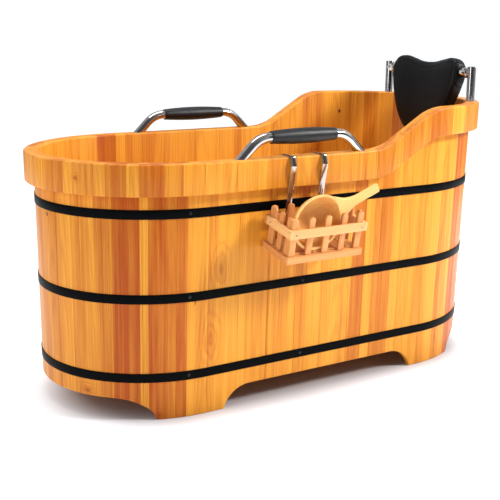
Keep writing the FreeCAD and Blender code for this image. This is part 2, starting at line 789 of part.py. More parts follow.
# The basket hangs from the rim by two hooks: their straps touch the rim blocks' lower
# edge, and the basket's base rests on the staves, which sets how far it leans

def wall_y(height, grow):
    """Y of the near wall's outside at a height."""
    return on_path(0, height, grow).y - s.rest_gap


band_low = s.rim_height - s.band_height
hang = Vector(0, wall_y(band_low, s.band_thickness), band_low)
rest_height = s.rim_height - s.basket_drop
rest = Vector(0, wall_y(rest_height, 0), rest_height)
drop = hang - rest
lean = math.atan2(-drop.y, drop.z) + math.asin(s.hook_thickness / drop.Length)
basket_turn = Rotation(Vector(1, 0, 0), math.degrees(lean))
basket_frame = Placement(
    Vector(s.basket_middle, rest.y, rest.z) - basket_turn.multVec(Vector(0, s.basket_depth, 0)),
    basket_turn,
)
basket_half = s.basket_width / 2
rail_half = basket_half - s.picket_inset + s.top_rail_thickness
back_face = s.basket_depth - s.top_rail_thickness
picket_reach = basket_half - s.picket_inset


def in_basket(x, y, z, turn=Rotation()):
    """Placement given in the basket's own frame: across, in towards the wall, up."""
    return basket_frame.multiply(Placement(Vector(x, y, z), turn))


width_long = "sizes.basket_width"
base_side = "sizes.basket_depth - 2 * sizes.base_rail_width"
rail_wide = "sizes.base_rail_width"
base_back = s.basket_depth - s.base_rail_width
base_right = basket_half - s.base_rail_width
for label, length, width, x, y in (
    ("basket_base_front", width_long, rail_wide, -basket_half, 0),
    ("basket_base_back", width_long, rail_wide, -basket_half, base_back),
    ("basket_base_left", rail_wide, base_side, -basket_half, s.base_rail_width),
    ("basket_base_right", rail_wide, base_side, base_right, s.base_rail_width),
):
    rail = box(label, length, width, "sizes.base_rail_height", in_basket(x, y, 0))
    keep(rail, label)

front_face = s.picket_inset
rail_front = front_face - s.top_rail_thickness


def small_screw_at(x, y, ahead):
    """Placement of a basket screw's head, pointing out of the basket."""
    level = s.top_rail_level + s.top_rail_height / 2
    return in_basket(x, y, level, Rotation(Vector(0, 0, 1), ahead))


end_picket = picket_reach - s.picket_width / 2
small_screws = [small_screw_at(side * end_picket, rail_front, Vector(0, -1, 0)) for side in (-1, 1)]
small_screws += [
    small_screw_at(side * rail_half, back_face - s.picket_width, Vector(side, 0, 0))
    for side in (-1, 1)
]
small_screws += [
    small_screw_at(side * s.hook_spacing / 2, s.basket_depth + s.hook_thickness, Vector(0, 1, 0))
    for side in (-1, 1)
]
small_length = s.top_rail_thickness - s.screw_gap
small_bores = []
for frame in small_screws:
    bore = Part.makeCylinder(
        s.small_shank / 2 + s.screw_gap, small_length + s.overrun, Vector(0, 0, -small_length)
    )
    bore.Placement = frame
    small_bores.append(bore)

rail_sides = s.basket_depth - s.top_rail_thickness - rail_front
for label, long, deep, x, y in (
    ("basket_rail_front", 2 * picket_reach, s.top_rail_thickness, -picket_reach, rail_front),
    ("basket_rail_back", 2 * rail_half, s.top_rail_thickness, -rail_half, back_face),
    ("basket_rail_left", s.top_rail_thickness, rail_sides, -rail_half, rail_front),
    ("basket_rail_right", s.top_rail_thickness, rail_sides, picket_reach, rail_front),
):
    rail = Part.makeBox(long, deep, s.top_rail_height)
    rail.Placement = in_basket(x, y, s.top_rail_level)
    feature(label, cut_all(rail, small_bores))


def picket():
    """Picket standing on the XY plane, its face along X and its top rounded."""
    half = s.picket_width / 2
    shoulder = s.picket_length - s.picket_crown
    corners = [Vector(-half, 0, 0), Vector(half, 0, 0)]
    corners += [Vector(half, 0, shoulder), Vector(-half, 0, shoulder)]
    edges = [
        line(corners[0], corners[1]),
        line(corners[1], corners[2]),
        arc(corners[2], Vector(0, 0, s.picket_length), corners[3]),
        line(corners[3], corners[0]),
    ]
    return prism(edges, Vector(0, s.picket_thickness, 0))


def picket_row(label, frames):
    """Row of pickets as one group."""
    row = []
    for frame in frames:
        solid = picket()
        solid.Placement = frame
        row.append(solid)
    feature(label, Part.makeCompound(row))


def spread(low, high, count):
    """Evenly spaced places from one limit to the other."""
    return [low + (high - low) * index / (count - 1) for index in range(int(count))]


half_picket = s.picket_width / 2
across_places = spread(-end_picket, end_picket, s.face_pickets)
back_pickets = back_face - s.picket_thickness
level = s.base_rail_height
picket_row("pickets_front", [in_basket(x, front_face, level) for x in across_places])
picket_row("pickets_back", [in_basket(x, back_pickets, level) for x in across_places])
side_low = front_face + s.picket_thickness + s.slat_gap + half_picket
side_high = back_pickets - s.slat_gap - half_picket
quarter = Rotation(Vector(0, 0, 1), 90)
side_places = spread(side_low, side_high, s.side_pickets)
left_picket = s.picket_thickness - picket_reach
picket_row("pickets_left", [in_basket(left_picket, y, level, quarter) for y in side_places])
picket_row("pickets_right", [in_basket(picket_reach, y, level, quarter) for y in side_places])

slat_room = 2 * (picket_reach - s.picket_thickness - s.slat_gap)
slat_half = slat_room / 2 - s.slat_width / 2
slat_length = "sizes.basket_depth - sizes.top_rail_thickness - sizes.picket_inset"
slat_length += " - 2 * sizes.picket_thickness - 2 * sizes.slat_gap"
for index, x in enumerate(spread(-slat_half, slat_half, s.slat_count)):
    place = in_basket(x - s.slat_width / 2, front_face + s.picket_thickness + s.slat_gap, level)
    slat = box(f"basket_slat_{index + 1}", "sizes.slat_width", slat_length, "sizes.slat_thickness", place)
    keep(slat, slat.Name)

small = domed_screw(s.small_head, s.small_head_rise, s.small_shank, small_length - s.screw_gap)
solids = []
for frame in small_screws:
    screw = small.copy()
    screw.Placement = frame
    solids.append(screw)
feature("basket_screws", Part.makeCompound(solids))


def rounded_path(points, radius):
    """Wire through points that lie in a plane, with an arc in each of its inner corners."""
    edges = []
    start = points[0]
    for before, corner, after in zip(points, points[1:], points[2:]):
        arrive = (corner - before).normalize()
        leave = (after - corner).normalize()
        half_turn = arrive.getAngle(leave) / 2
        first = corner - arrive * (radius * math.tan(half_turn))
        last = corner + leave * (radius * math.tan(half_turn))
        inward = (leave - arrive).normalize()
        middle = corner + inward * (radius / math.cos(half_turn) - radius)
        edges += [line(start, first), arc(first, middle, last)]
        start = last
    return Part.Wire(edges + [line(start, points[-1])])


def hook_solid():
    """Flat strap from behind the basket's back rail, up past the rim blocks, folded in to the
    rim's edge, and level over the rim to the staves' inner edge."""
    half = s.hook_thickness / 2
    strap = basket_turn.multVec(Vector(0, 0, 1))
    face = basket_frame.multVec(Vector(0, s.basket_depth + half, s.top_rail_level - s.hook_tail))
    foot = Vector(0, face.y, face.z)
    rim = s.rim_height + s.rest_gap + half
    fold = foot + strap * ((s.rim_height - s.hook_fold - foot.z) / strap.z)
    edge = Vector(0, -half_width - s.band_thickness - s.hook_clearance, rim)
    inner = Vector(0, s.stave_thickness - half_width, rim)
    path = rounded_path([foot, fold, edge, inner], s.hook_radius)
    side = Vector(s.hook_width / 2, 0, 0)
    out = strap.cross(Vector(1, 0, 0)) * half
    corners = [foot - side - out, foot + side - out, foot + side + out, foot - side + out]
    edges = [line(a, b) for a, b in zip(corners, corners[1:] + corners[:1])]
    return path.makePipeShell([Part.Wire(edges)], True, False)


hook = hook_solid()
for side_name, side in (("left", -1), ("right", 1)):
    place = Vector(s.basket_middle + side * s.hook_spacing / 2, 0, 0)
    shape = hook.copy()
    shape.translate(place)
    feature(f"basket_hook_{side_name}", cut_all(shape, small_bores))


# Ladle: a round bowl standing behind the front pickets, its handle up to the right. The neck
# starts at this share of the bowl's radius, and at the second share of its length it has
# lost all but the third share of its extra width.
NECK_START_SHARE, NECK_WAIST_SHARE, NECK_WIDTH_SHARE = 0.80, 0.30, 0.25

def ladle_solid():
    """Bowl open towards -Y about the origin, with a flat handle in the plane of its rim."""
    radius = s.ladle_diameter / 2
    ball = (radius * radius + s.ladle_depth ** 2) / (2 * s.ladle_depth)
    centre = Vector(0, s.ladle_depth - ball, 0)
    space = Part.makeBox(4 * radius, 4 * radius, 4 * radius, Vector(-2 * radius, 0, -2 * radius))
    outer = Part.makeSphere(ball, centre).common(space)
    hollow = Part.makeSphere(ball - s.ladle_wall, centre)
    half = s.ladle_handle_width / 2
    neck_start = radius * NECK_START_SHARE
    neck_end = radius + s.ladle_neck_length
    neck_middle = radius + s.ladle_neck_length * NECK_WAIST_SHARE
    neck_waist = half + (s.ladle_neck_half - half) * NECK_WIDTH_SHARE
    upper = (
        Vector(neck_start, 0, s.ladle_neck_half),
        Vector(neck_middle, 0, neck_waist),
        Vector(neck_end, 0, half),
        Vector(s.ladle_reach, 0, half),
    )
    lower = [Vector(point.x, 0, -point.z) for point in upper]
    outline = [
        arc(upper[0], upper[1], upper[2]),
        line(upper[2], upper[3]),
        line(upper[3], lower[3]),
        line(lower[3], lower[2]),
        arc(lower[2], lower[1], lower[0]),
        line(lower[0], upper[0]),
    ]
    handle = prism(outline, Vector(0, s.ladle_handle_thickness, 0))
    handle.rotate(Vector(), Vector(0, 1, 0), -s.ladle_angle)
    return outer.fuse(handle).cut(hollow).removeSplitter()


ladle_frame = in_basket(
    s.ladle_place,
    front_face + s.picket_thickness + s.rest_gap,
    s.base_rail_height + s.slat_thickness + s.rest_gap + s.ladle_diameter / 2,
)
feature("ladle", ladle_solid(), ladle_frame)


# Drain: flange and seal on the floor, body through it, lock nut below, and the plug

drain = Placement(Vector(drain_place, 0, 0), Rotation())
floor_level = "sizes.floor_underside + sizes.floor_thickness"
seal_top = floor_level + " + sizes.seal_thickness"
flange_top = seal_top + " + sizes.flange_thickness"
body_radius = "sizes.drain_thread / 2"
ring_radius = body_radius + " + sizes.thread_gap"
turned("drain_seal", [
    (ring_radius, floor_level),
    (body_radius + " + sizes.seal_width", floor_level),
    (body_radius + " + sizes.seal_width", seal_top),
    (ring_radius, seal_top),
], drain)
turned("drain_flange", [
    (ring_radius, seal_top),
    ("sizes.drain_flange / 2", seal_top),
    ("sizes.drain_flange / 2", seal_top + " + sizes.flange_thickness / 3"),
    (ring_radius + " + sizes.flange_thickness", flange_top),
    (ring_radius, flange_top),
], drain)
turned("drain_body", [
    ("sizes.drain_bore / 2", "sizes.drain_reach"),
    ("sizes.spigot_diameter / 2", "sizes.drain_reach"),
    ("sizes.spigot_diameter / 2", "sizes.drain_reach + sizes.spigot_length"),
    (body_radius, "sizes.drain_reach + sizes.spigot_length"),
    (body_radius, flange_top),
    ("sizes.drain_bore / 2", flange_top),
], drain)
plug_rest = flange_top + " + sizes.rest_gap"
plug_top = plug_rest + " + sizes.plug_head_height"
stem_radius = "sizes.drain_bore / 2 - sizes.plug_gap"
knob_base = "sizes.plug_knob / 3"
turned("drain_plug", [
    ("0", plug_rest + " - sizes.plug_stem"),
    (stem_radius, plug_rest + " - sizes.plug_stem"),
    (stem_radius, plug_rest),
    ("sizes.plug_head / 2", plug_rest),
    ("sizes.plug_head / 2", plug_rest + " + sizes.plug_head_height / 2"),
    ("sizes.plug_knob", plug_top),
    (knob_base, plug_top),
    (knob_base, plug_top + " + sizes.plug_knob_height / 2"),
    ("sizes.plug_knob / 2", plug_top + " + 2 * sizes.plug_knob_height / 3"),
    ("sizes.plug_knob / 2", plug_top + " + sizes.plug_knob_height"),
    ("0", plug_top + " + sizes.plug_knob_height"),
], drain)
nut_block = primitive(
    "Part::Prism", "lock_nut_block", Circumradius="sizes.nut_width / 2", Height="sizes.nut_height"
)
nut_bore = primitive(
    "Part::Cylinder",
    "lock_nut_bore",
    Radius=ring_radius,
    Height="sizes.nut_height + 2 * sizes.overrun",
)
nut_bore.Placement.Base = Vector(0, 0, -s.overrun)
lock_nut = doc.addObject("Part::Cut", "drain_lock_nut")
lock_nut.Base = nut_block
lock_nut.Tool = nut_bore
lock_nut.Placement = Placement(
    Vector(drain_place, 0, s.floor_underside - s.nut_height - s.socket_gap), Rotation()
)
keep(lock_nut, "drain_lock_nut")

# The origin goes under the middle of the whole part's outer box

doc.recompute()
bounds = FreeCAD.BoundBox()
for piece in nodes:
    bounds.add(piece.Shape.optimalBoundingBox(True, False))
to_origin = Vector(-bounds.Center.x, -bounds.Center.y, -bounds.ZMin)
for piece in nodes:
    piece.Placement.Base = piece.Placement.Base + to_origin
doc.recompute()

for item in doc.Objects:
    bad = {"Invalid", "Error"}.intersection(item.State)
    if bad:
        raise RuntimeError(f"{item.Name} failed: {item.State}")
for piece in nodes:
    if piece.Shape.isNull() or not piece.Shape.isValid() or not piece.Shape.Solids:
        raise RuntimeError(f"{piece.Label} has no sound shape")

os.makedirs("parts", exist_ok=True)
for piece in nodes:
    piece.Shape.exportStep(f"parts/{piece.Label}.step")
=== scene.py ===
import bpy
import bmesh
import numpy as np
from math import cos, pi, radians, sin, sqrt, tan
from mathutils import Matrix, Vector


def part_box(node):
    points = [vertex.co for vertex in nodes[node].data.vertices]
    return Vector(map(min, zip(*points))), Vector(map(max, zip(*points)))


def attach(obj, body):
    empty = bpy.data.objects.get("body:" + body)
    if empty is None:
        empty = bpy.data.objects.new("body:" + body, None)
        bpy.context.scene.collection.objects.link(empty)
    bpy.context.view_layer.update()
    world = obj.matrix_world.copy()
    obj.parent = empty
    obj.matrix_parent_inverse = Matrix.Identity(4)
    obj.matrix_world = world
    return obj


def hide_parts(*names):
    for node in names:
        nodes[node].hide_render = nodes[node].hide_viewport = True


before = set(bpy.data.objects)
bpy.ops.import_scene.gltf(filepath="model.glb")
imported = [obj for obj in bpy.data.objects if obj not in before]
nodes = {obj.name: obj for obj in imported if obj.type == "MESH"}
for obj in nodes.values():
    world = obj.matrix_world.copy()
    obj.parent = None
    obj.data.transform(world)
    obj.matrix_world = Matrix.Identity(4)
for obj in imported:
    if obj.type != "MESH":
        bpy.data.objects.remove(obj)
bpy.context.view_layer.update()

# Coopered wooden soaking tub with a raised head end, two handles, a head cushion, and a
# picket basket with a ladle. Metres. +X is the head end, -Y the side with the basket.

# Driving sizes of the wall, about the tub's own middle

STAVES = 40
SIDE_STAVES = 8
END_STAVES = 12
SIDE_HALF = 0.374
STEP = 2 * SIDE_HALF / SIDE_STAVES
FAR_START = SIDE_STAVES + END_STAVES
FOOT_START = FAR_START + SIDE_STAVES
STAVE_TURN = 180 / END_STAVES
END_LENGTH = 0.350
HALF_WIDTH = 0.314
TAPER = 0.022
STAVE_THICKNESS = 0.018
BAND_THICKNESS = 0.026
BAND_HEIGHT = 0.083
BLOCK_STAGGER = 0.7
GLUE_GAP = 0.0002
RAMP_START = 0.188
RAMP_ANGLE = radians(30.8)
RAMP_RADIUS = 0.170
ARCH_HEIGHT = 0.060
SIDE_ARCH = (-0.318, 0.350, 0.085)
FOOT_ARCH = (-0.272, 0.272, 0.057)
HEAD_ARCH = (-0.259, 0.259, 0.057)

NEAR_LOW, NEAR_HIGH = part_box("staves_near_side")
FAR_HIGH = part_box("staves_far_side")[1]
MIDDLE = Vector(((NEAR_LOW.x + NEAR_HIGH.x) / 2, (NEAR_LOW.y + FAR_HIGH.y) / 2, 0))
RIM_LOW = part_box("rim_blocks_foot_end")[1].z
RIM_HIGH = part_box("rim_blocks_head_end")[1].z
RIM_MIDDLE = HALF_WIDTH + (BAND_THICKNESS - STAVE_THICKNESS) / 2


# Meshes

WELD_REACH = 1e-6


def colour(red, green, blue):
    """Colour from its screen values, 0 to 255, as the linear values that shaders take."""
    part = np.array([red, green, blue]) / 255
    linear = np.where(part < 0.04045, part / 12.92, ((part + 0.055) / 1.055) ** 2.4)
    return (*linear.tolist(), 1.0)


def grid_faces(rows, cols, wrap_rows=False, wrap_cols=False):
    """Quads between the points of a grid, joined round either way when that way wraps."""
    row = np.arange(rows if wrap_rows else rows - 1)[:, None]
    col = np.arange(cols if wrap_cols else cols - 1)[None, :]
    below, beside = (row + 1) % rows, (col + 1) % cols
    corners = (row * cols + col, row * cols + beside, below * cols + beside, below * cols + col)
    return np.stack(corners, axis=-1).reshape(-1, 4).tolist()


def tube_faces(rings, around):
    """Quads round a stack of closed rings, and one flat face on each end."""
    ends = [list(range(around))[::-1], list(range((rings - 1) * around, rings * around))]
    return grid_faces(rings, around, wrap_cols=True) + ends


def join(shapes):
    """One list of points and one of faces from several shapes."""
    points, faces, first = [], [], 0
    for shape_points, shape_faces in shapes:
        shape_points = np.asarray(shape_points).reshape(-1, 3)
        points.append(shape_points)
        faces += [[index + first for index in face] for face in shape_faces]
        first += len(shape_points)
    return np.concatenate(points), faces


def new_object(name, data):
    """Object in the scene that carries a mesh, a lamp or a camera."""
    made = bpy.data.objects.new(name, data)
    bpy.context.scene.collection.objects.link(made)
    return made


def closed_mesh(name, points, faces, weld=True):
    """Mesh whose faces point outwards, its double points merged first where it is welded."""
    mesh = bpy.data.meshes.new(name)
    mesh.from_pydata(points.tolist(), [], faces)
    shell = bmesh.new()
    shell.from_mesh(mesh)
    if weld:
        bmesh.ops.remove_doubles(shell, verts=shell.verts, dist=WELD_REACH)
    bmesh.ops.recalc_face_normals(shell, faces=shell.faces)
    shell.to_mesh(mesh)
    shell.free()
    return mesh


def make_piece(name, shapes, body, replaced, sharp=40, weld=True):
    """Piece from closed shapes about the tub's middle, riding on a body of the frame in place of
    CAD nodes. Edges sharper than the angle stay crisp."""
    points, faces = join(shapes)
    mesh = closed_mesh(name, points + np.array(MIDDLE), faces, weld)
    mesh.shade_smooth()
    mesh.set_sharp_from_angle(angle=radians(sharp))
    piece = new_object(name, mesh)
    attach(piece, body)
    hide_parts(*replaced)
    return piece


def put_on(piece, *materials):
    """Gives a piece its materials in slot order."""
    piece.data.materials.clear()
    for material in materials:
        piece.data.materials.append(material)


def point_values(mesh, name, values):
    """Stores one vector for each point of a mesh."""
    layer = mesh.attributes.new(name, "FLOAT_VECTOR", "POINT")
    layer.data.foreach_set("vector", np.asarray(values, dtype=np.float32).ravel())


def face_tones(mesh, values):
    """Stores the tone of the timber for each face of a mesh."""
    layer = mesh.attributes.new("tone", "FLOAT", "FACE")
    layer.data.foreach_set("value", values)


def points_of(mesh):
    """Points of a mesh as an array of x, y, z."""
    values = np.empty(len(mesh.vertices) * 3, dtype=np.float32)
    mesh.vertices.foreach_get("co", values)
    return values.reshape(-1, 3).astype(float)


def sweep(path, profile, side):
    """Closed profile carried along a path that lies in a plane. At each path point the profile's
    first number goes along the plane's normal `side` and its second along normal x tangent."""
    path, side = np.asarray(path, dtype=float), np.asarray(side, dtype=float)
    tangent = np.gradient(path, axis=0)
    tangent /= np.linalg.norm(tangent, axis=1, keepdims=True)
    upward = np.cross(side, tangent)
    profile = np.asarray(profile)
    rings = (
        path[:, None, :]
        + profile[None, :, 0:1] * side[None, None, :]
        + profile[None, :, 1:2] * upward[:, None, :]
    )
    return rings.reshape(-1, 3), tube_faces(len(path), len(profile))


def lathe(profile, origin, axis, sides=48):
    """Profile of radius and height turned about an axis: a point is origin + height * axis +
    radius * (cos t, sin t) in the plane across it. The profile is a closed loop."""
    axis = Vector(axis).normalized()
    across = axis.orthogonal().normalized()
    other = axis.cross(across)
    profile = np.asarray(profile)
    turn = np.linspace(0, 2 * pi, sides, endpoint=False)
    around = np.cos(turn)[None, :, None] * np.array(across) + np.sin(turn)[None, :, None] * np.array(other)
    rings = profile[:, 0, None, None] * around + profile[:, 1, None, None] * np.array(axis)
    return (rings + np.array(origin)).reshape(-1, 3), grid_faces(len(profile), sides, True, True)


def quarter(middle, radius, start, steps=4):
    """Points on a quarter circle from an angle in degrees, counted anticlockwise."""
    turn = np.radians(start) + np.linspace(0, pi / 2, steps + 1)
    return np.stack([middle[0] + radius * np.cos(turn), middle[1] + radius * np.sin(turn)], axis=-1)


def round_box(low, high, radii, steps=3):
    """Outline of a box in two directions with its four corners rounded by quarter circles.
    The corners run from the low first, high second one on round anticlockwise."""
    corners = (
        ((low[0], high[1]), (1, -1), 90, radii[0]),
        ((low[0], low[1]), (1, 1), 180, radii[1]),
        ((high[0], low[1]), (-1, 1), 270, radii[2]),
        ((high[0], high[1]), (-1, -1), 0, radii[3]),
    )
    parts = []
    for corner, inward, start, radius in corners:
        middle = (corner[0] + inward[0] * radius, corner[1] + inward[1] * radius)
        parts.append(quarter(middle, radius, start, steps))
    return np.concatenate(parts)


def circle(radius, sides):
    """Points of a circle, for a round profile."""
    turn = np.linspace(0, 2 * pi, sides, endpoint=False)
    return np.stack([radius * np.cos(turn), radius * np.sin(turn)], axis=-1)


# The wall's outline, rim line and arches

def outline(place, height, grow):
    """Points round the wall as x and y. Each side is straight, one step per stave. Each end is
    half an ellipse whose angle runs 15 degrees per stave. Both half axes shrink by the taper
    below the low rim, and grow by `grow`."""
    place = np.asarray(place) % STAVES
    draw_in = TAPER * (RIM_LOW - height)
    long_axis = END_LENGTH - draw_in + grow
    wide_axis = HALF_WIDTH - draw_in + grow
    head_turn = pi * (place - SIDE_STAVES) / END_STAVES - pi / 2
    foot_turn = pi * (place - FOOT_START) / END_STAVES + pi / 2
    where = [place <= SIDE_STAVES, place < FAR_START, place <= FOOT_START]
    x = np.select(
        where,
        [
            place * STEP - SIDE_HALF,
            SIDE_HALF + long_axis * np.cos(head_turn),
            SIDE_HALF - (place - FAR_START) * STEP,
        ],
        long_axis * np.cos(foot_turn) - SIDE_HALF,
    )
    y = np.select(
        where, [-wide_axis, wide_axis * np.sin(head_turn), wide_axis], wide_axis * np.sin(foot_turn)
    )
    return x, y


def rim_top(x):
    """Height of the rim at x: low, a round bend, a straight ramp, a round crest, and high. Each
    bend is an arc of the ramp radius, tangent to the line on both sides of it."""
    tangent = RAMP_RADIUS * tan(RAMP_ANGLE / 2)
    reach = RAMP_RADIUS * sin(RAMP_ANGLE)
    start = RAMP_START - tangent
    end = RAMP_START + (RIM_HIGH - RIM_LOW) / tan(RAMP_ANGLE) + tangent
    from_start = np.clip(x - start, 0, reach)
    from_end = np.clip(end - x, 0, reach)
    bend = RIM_LOW + RAMP_RADIUS - np.sqrt(RAMP_RADIUS**2 - from_start**2)
    ramp = RIM_LOW + (x - RAMP_START) * tan(RAMP_ANGLE)
    crest = RIM_HIGH - RAMP_RADIUS + np.sqrt(RAMP_RADIUS**2 - from_end**2)
    return np.where(x < start + reach, bend, np.where(x < end - reach, ramp, crest))


def arch(place, low, high, radius):
    """Height of an arch over a line: nought outside it, from each end an arc of the corner radius
    that runs out level, and flat between them."""
    inside = np.minimum(place - low, high - place)
    fall = sqrt(radius**2 - (radius - ARCH_HEIGHT) ** 2)
    rise = np.sqrt(radius**2 - (fall - np.clip(inside, 0, fall)) ** 2)
    return np.where(inside <= 0, 0, ARCH_HEIGHT - radius + rise)


def ground(x, y):
    """Height of the wall's lower edge: the side arches, or the arch of the end on that side."""
    end = np.where(x < 0, arch(y, *FOOT_ARCH), arch(y, *HEAD_ARCH))
    return np.where(np.abs(x) < SIDE_HALF, arch(x, *SIDE_ARCH), end)


def arch_places():
    """Places of extra upright columns round the corners of the arches, nine to a corner."""
    places = []
    share = (1 - np.cos(np.linspace(0, pi / 2, 9))) * 0.98 + 0.001
    wide = HALF_WIDTH - TAPER * RIM_LOW
    for low, high, radius in (SIDE_ARCH, FOOT_ARCH, HEAD_ARCH):
        fall = sqrt(radius**2 - (radius - ARCH_HEIGHT) ** 2)
        at = np.concatenate([low + share * fall, high - share * fall])
        if radius == SIDE_ARCH[2]:
            places += [(at + SIDE_HALF) / STEP, FAR_START + (SIDE_HALF - at) / STEP]
        elif high == FOOT_ARCH[1]:
            places.append(FOOT_START + (180 - np.degrees(np.arcsin(at / wide)) - 90) / STAVE_TURN)
        else:
            places.append(SIDE_STAVES + (np.degrees(np.arcsin(at / wide)) + 90) / STAVE_TURN)
    return np.concatenate(places)


ARCH_PLACES = arch_places()
SEAM = 0.0012
SEAM_DEPTH = 0.0005
SEAM_WIDTH = 0.006
BOARD_COLUMNS = 13


def wall_board(start, inner, outer, radii, from_ground):
    """One stave or rim block as a closed shell: upright columns from one joint to the next,
    each a round-cornered outline of wall thickness by height. Heights are counted from the
    rim's line, or from the ground for the lower corners of a stave. The first and the last
    column are drawn in, which leaves a fine V between neighbours."""
    even = np.linspace(start + SEAM, start + 1 - SEAM, BOARD_COLUMNS)
    more = ARCH_PLACES[(ARCH_PLACES > start + 2 * SEAM) & (ARCH_PLACES < start + 1 - 2 * SEAM)]
    inside = np.unique(np.concatenate([even, more, even[:1] + SEAM_WIDTH, even[-1:] - SEAM_WIDTH]))
    drawn_in = np.zeros(len(inside))
    drawn_in[[0, -1]] = SEAM_DEPTH
    section = round_box((inner, -1.0), (outer, 0.0), radii)
    count = len(section) // 4
    upper = np.concatenate([np.ones(count), np.zeros(2 * count), np.ones(count)]).astype(bool)
    lift = np.where(upper, section[:, 1], section[:, 1] + 1.0)
    place = inside[:, None]
    middle = (inner + outer) / 2
    grow = middle + (section[None, :, 0] - middle) * (1 - drawn_in[:, None] / (outer - middle))
    x, y = outline(place, RIM_LOW, grow)
    top = rim_top(x) + lift - drawn_in[:, None]
    if from_ground:
        base_x, base_y = outline(place, 0.0, grow)
        foot = ground(base_x, base_y) + lift
    else:
        foot = rim_top(x) - BAND_HEIGHT + lift + drawn_in[:, None]
    height = np.where(upper[None, :], top, foot)
    x, y = outline(place, height, grow)
    points = np.stack([x, y, height], axis=-1).reshape(-1, 3)
    along = np.broadcast_to(place, grow.shape)
    facts = np.stack([along, grow, height], axis=-1).reshape(-1, 3)
    return points, tube_faces(len(inside), len(section)), facts


# Colour strips of the near wall's outside and of the far wall's inside: start in staves, and tone
# from 0, pale, to 1, deep. The strips elsewhere are drawn from a seeded list.

STAVE_STRIPS = (
    (33.57, 0.38), (35.26, 0.20), (35.69, 0.40), (36.31, 0.12), (36.52, 0.50), (37.05, 0.92),
    (37.55, 0.84), (37.92, 0.14), (38.20, 0.78), (38.74, 0.60), (38.98, 0.82), (39.34, 0.12),
    (39.62, 0.24), (39.95, 0.18), (40.70, 0.10), (41.30, 0.22), (41.66, 0.42), (42.12, 0.20),
    (42.77, 0.12), (42.98, 0.44), (43.43, 0.16), (43.95, 0.12), (44.40, 0.18), (45.05, 0.60),
    (45.60, 0.10), (45.90, 0.42), (46.19, 0.66), (46.66, 0.10), (47.15, 0.14), (47.66, 0.26),
    (48.05, 0.12), (48.74, 0.30), (49.14, 0.12), (49.62, 0.74), (50.20, 0.66),
    (57.10, 0.62), (57.65, 0.30), (58.30, 0.00), (59.45, 0.46), (60.40, 0.12), (61.60, 0.50),
    (61.80, 0.06), (63.05, 0.50), (63.40, 0.10), (64.15, 0.02), (64.90, 0.26), (66.15, 0.34),
    (67.00, 0.44), (67.65, 0.04), (68.00, 0.80), (68.75, 0.10), (69.50, 0.34), (70.30, 0.05),
    (72.50, 0.30),
)
BLOCK_STRIPS = (
    (33.50, 0.24), (35.30, 0.62), (35.70, 0.16), (36.03, 0.32), (37.00, 0.72), (37.62, 0.12),
    (37.98, 0.80), (38.60, 0.36), (39.12, 0.12), (39.54, 0.30), (40.70, 0.16), (41.70, 0.28),
    (42.70, 0.18), (43.70, 0.28), (44.70, 0.24), (45.12, 0.36), (45.68, 0.60), (46.36, 0.26),
    (46.70, 0.46), (47.80, 0.54), (48.68, 0.10), (49.40, 0.52),
)
STRIP_START = 33.5
STRIP_WIDTH = 0.42
SEEDED_WIDTHS = (0.3, 0.9)
SEEDED_TONES = (0.10, 0.18, 0.26, 0.34, 0.55, 0.85)
SEEDED_SHARES = (0.22, 0.22, 0.20, 0.14, 0.12, 0.10)
TONE_STEP = 0.08
SEEDED_COUNT, SEEDED_ROOM = 60, 0.2


def strip_table(seen, first, last, seed):
    """Starts and tones of all strips round the wall. Those between the first and the last place,
    where nothing is given, come from a seeded list, and a wide strip is split into narrow ones
    whose tones differ a little."""
    draw = np.random.default_rng(seed)
    starts = first + np.cumsum(draw.uniform(*SEEDED_WIDTHS, SEEDED_COUNT))
    starts = starts[starts < last - SEEDED_ROOM]
    tones = draw.choice(SEEDED_TONES, len(starts), p=SEEDED_SHARES)
    seen = np.array(seen)
    wide = np.vstack([seen, np.column_stack([starts, tones])])
    wide = wide[np.argsort(wide[:, 0])]
    room = np.diff(np.append(wide[:, 0], wide[0, 0] + STAVES))
    parts = np.maximum(1, np.round(room / STRIP_WIDTH)).astype(int)
    share = np.arange(parts.sum()) - np.repeat(np.cumsum(parts) - parts, parts)
    narrow = np.repeat(wide[:, 0], parts) + share * np.repeat(room / parts, parts)
    step = draw.uniform(-TONE_STEP, TONE_STEP, len(narrow)) * (share > 0)
    return narrow, np.clip(np.repeat(wide[:, 1], parts) + step, 0.0, 1.0)


STRIP_SHIFTS = np.random.default_rng(11).uniform((-0.16, 0.020, 0), (0.16, 0.090, 3), (97, 3))


def colour_strips(mesh, facts, table, first_joint):
    """Gives each face its strip's tone, and each corner its place in that strip's own piece of
    timber: across, through and along. Every strip and every board starts another piece."""
    starts, tones = table
    loops = np.empty(len(mesh.loops), dtype=np.int32)
    mesh.loops.foreach_get("vertex_index", loops)
    counts = np.empty(len(mesh.polygons), dtype=np.int32)
    mesh.polygons.foreach_get("loop_total", counts)
    owner = np.repeat(np.arange(len(counts)), counts)
    place = facts[loops, 0]
    middle = np.bincount(owner, place) / counts
    around = (middle - STRIP_START) % STAVES + STRIP_START
    around = np.where(around < starts[0], starts[0], around)
    strip = np.searchsorted(starts, around, side="right") - 1
    board = np.floor(middle - first_joint).astype(int)
    shift = STRIP_SHIFTS[(strip * 7 + board * 13) % len(STRIP_SHIFTS)][owner]
    across = (place - (board[owner] + first_joint + 0.5)) * STEP
    timber = np.stack([across, facts[loops, 1], facts[loops, 2]], axis=-1) + shift
    layer = mesh.attributes.new("timber", "FLOAT_VECTOR", "CORNER")
    layer.data.foreach_set("vector", timber.astype(np.float32).ravel())
    face_tones(mesh, tones[strip].astype(np.float32))


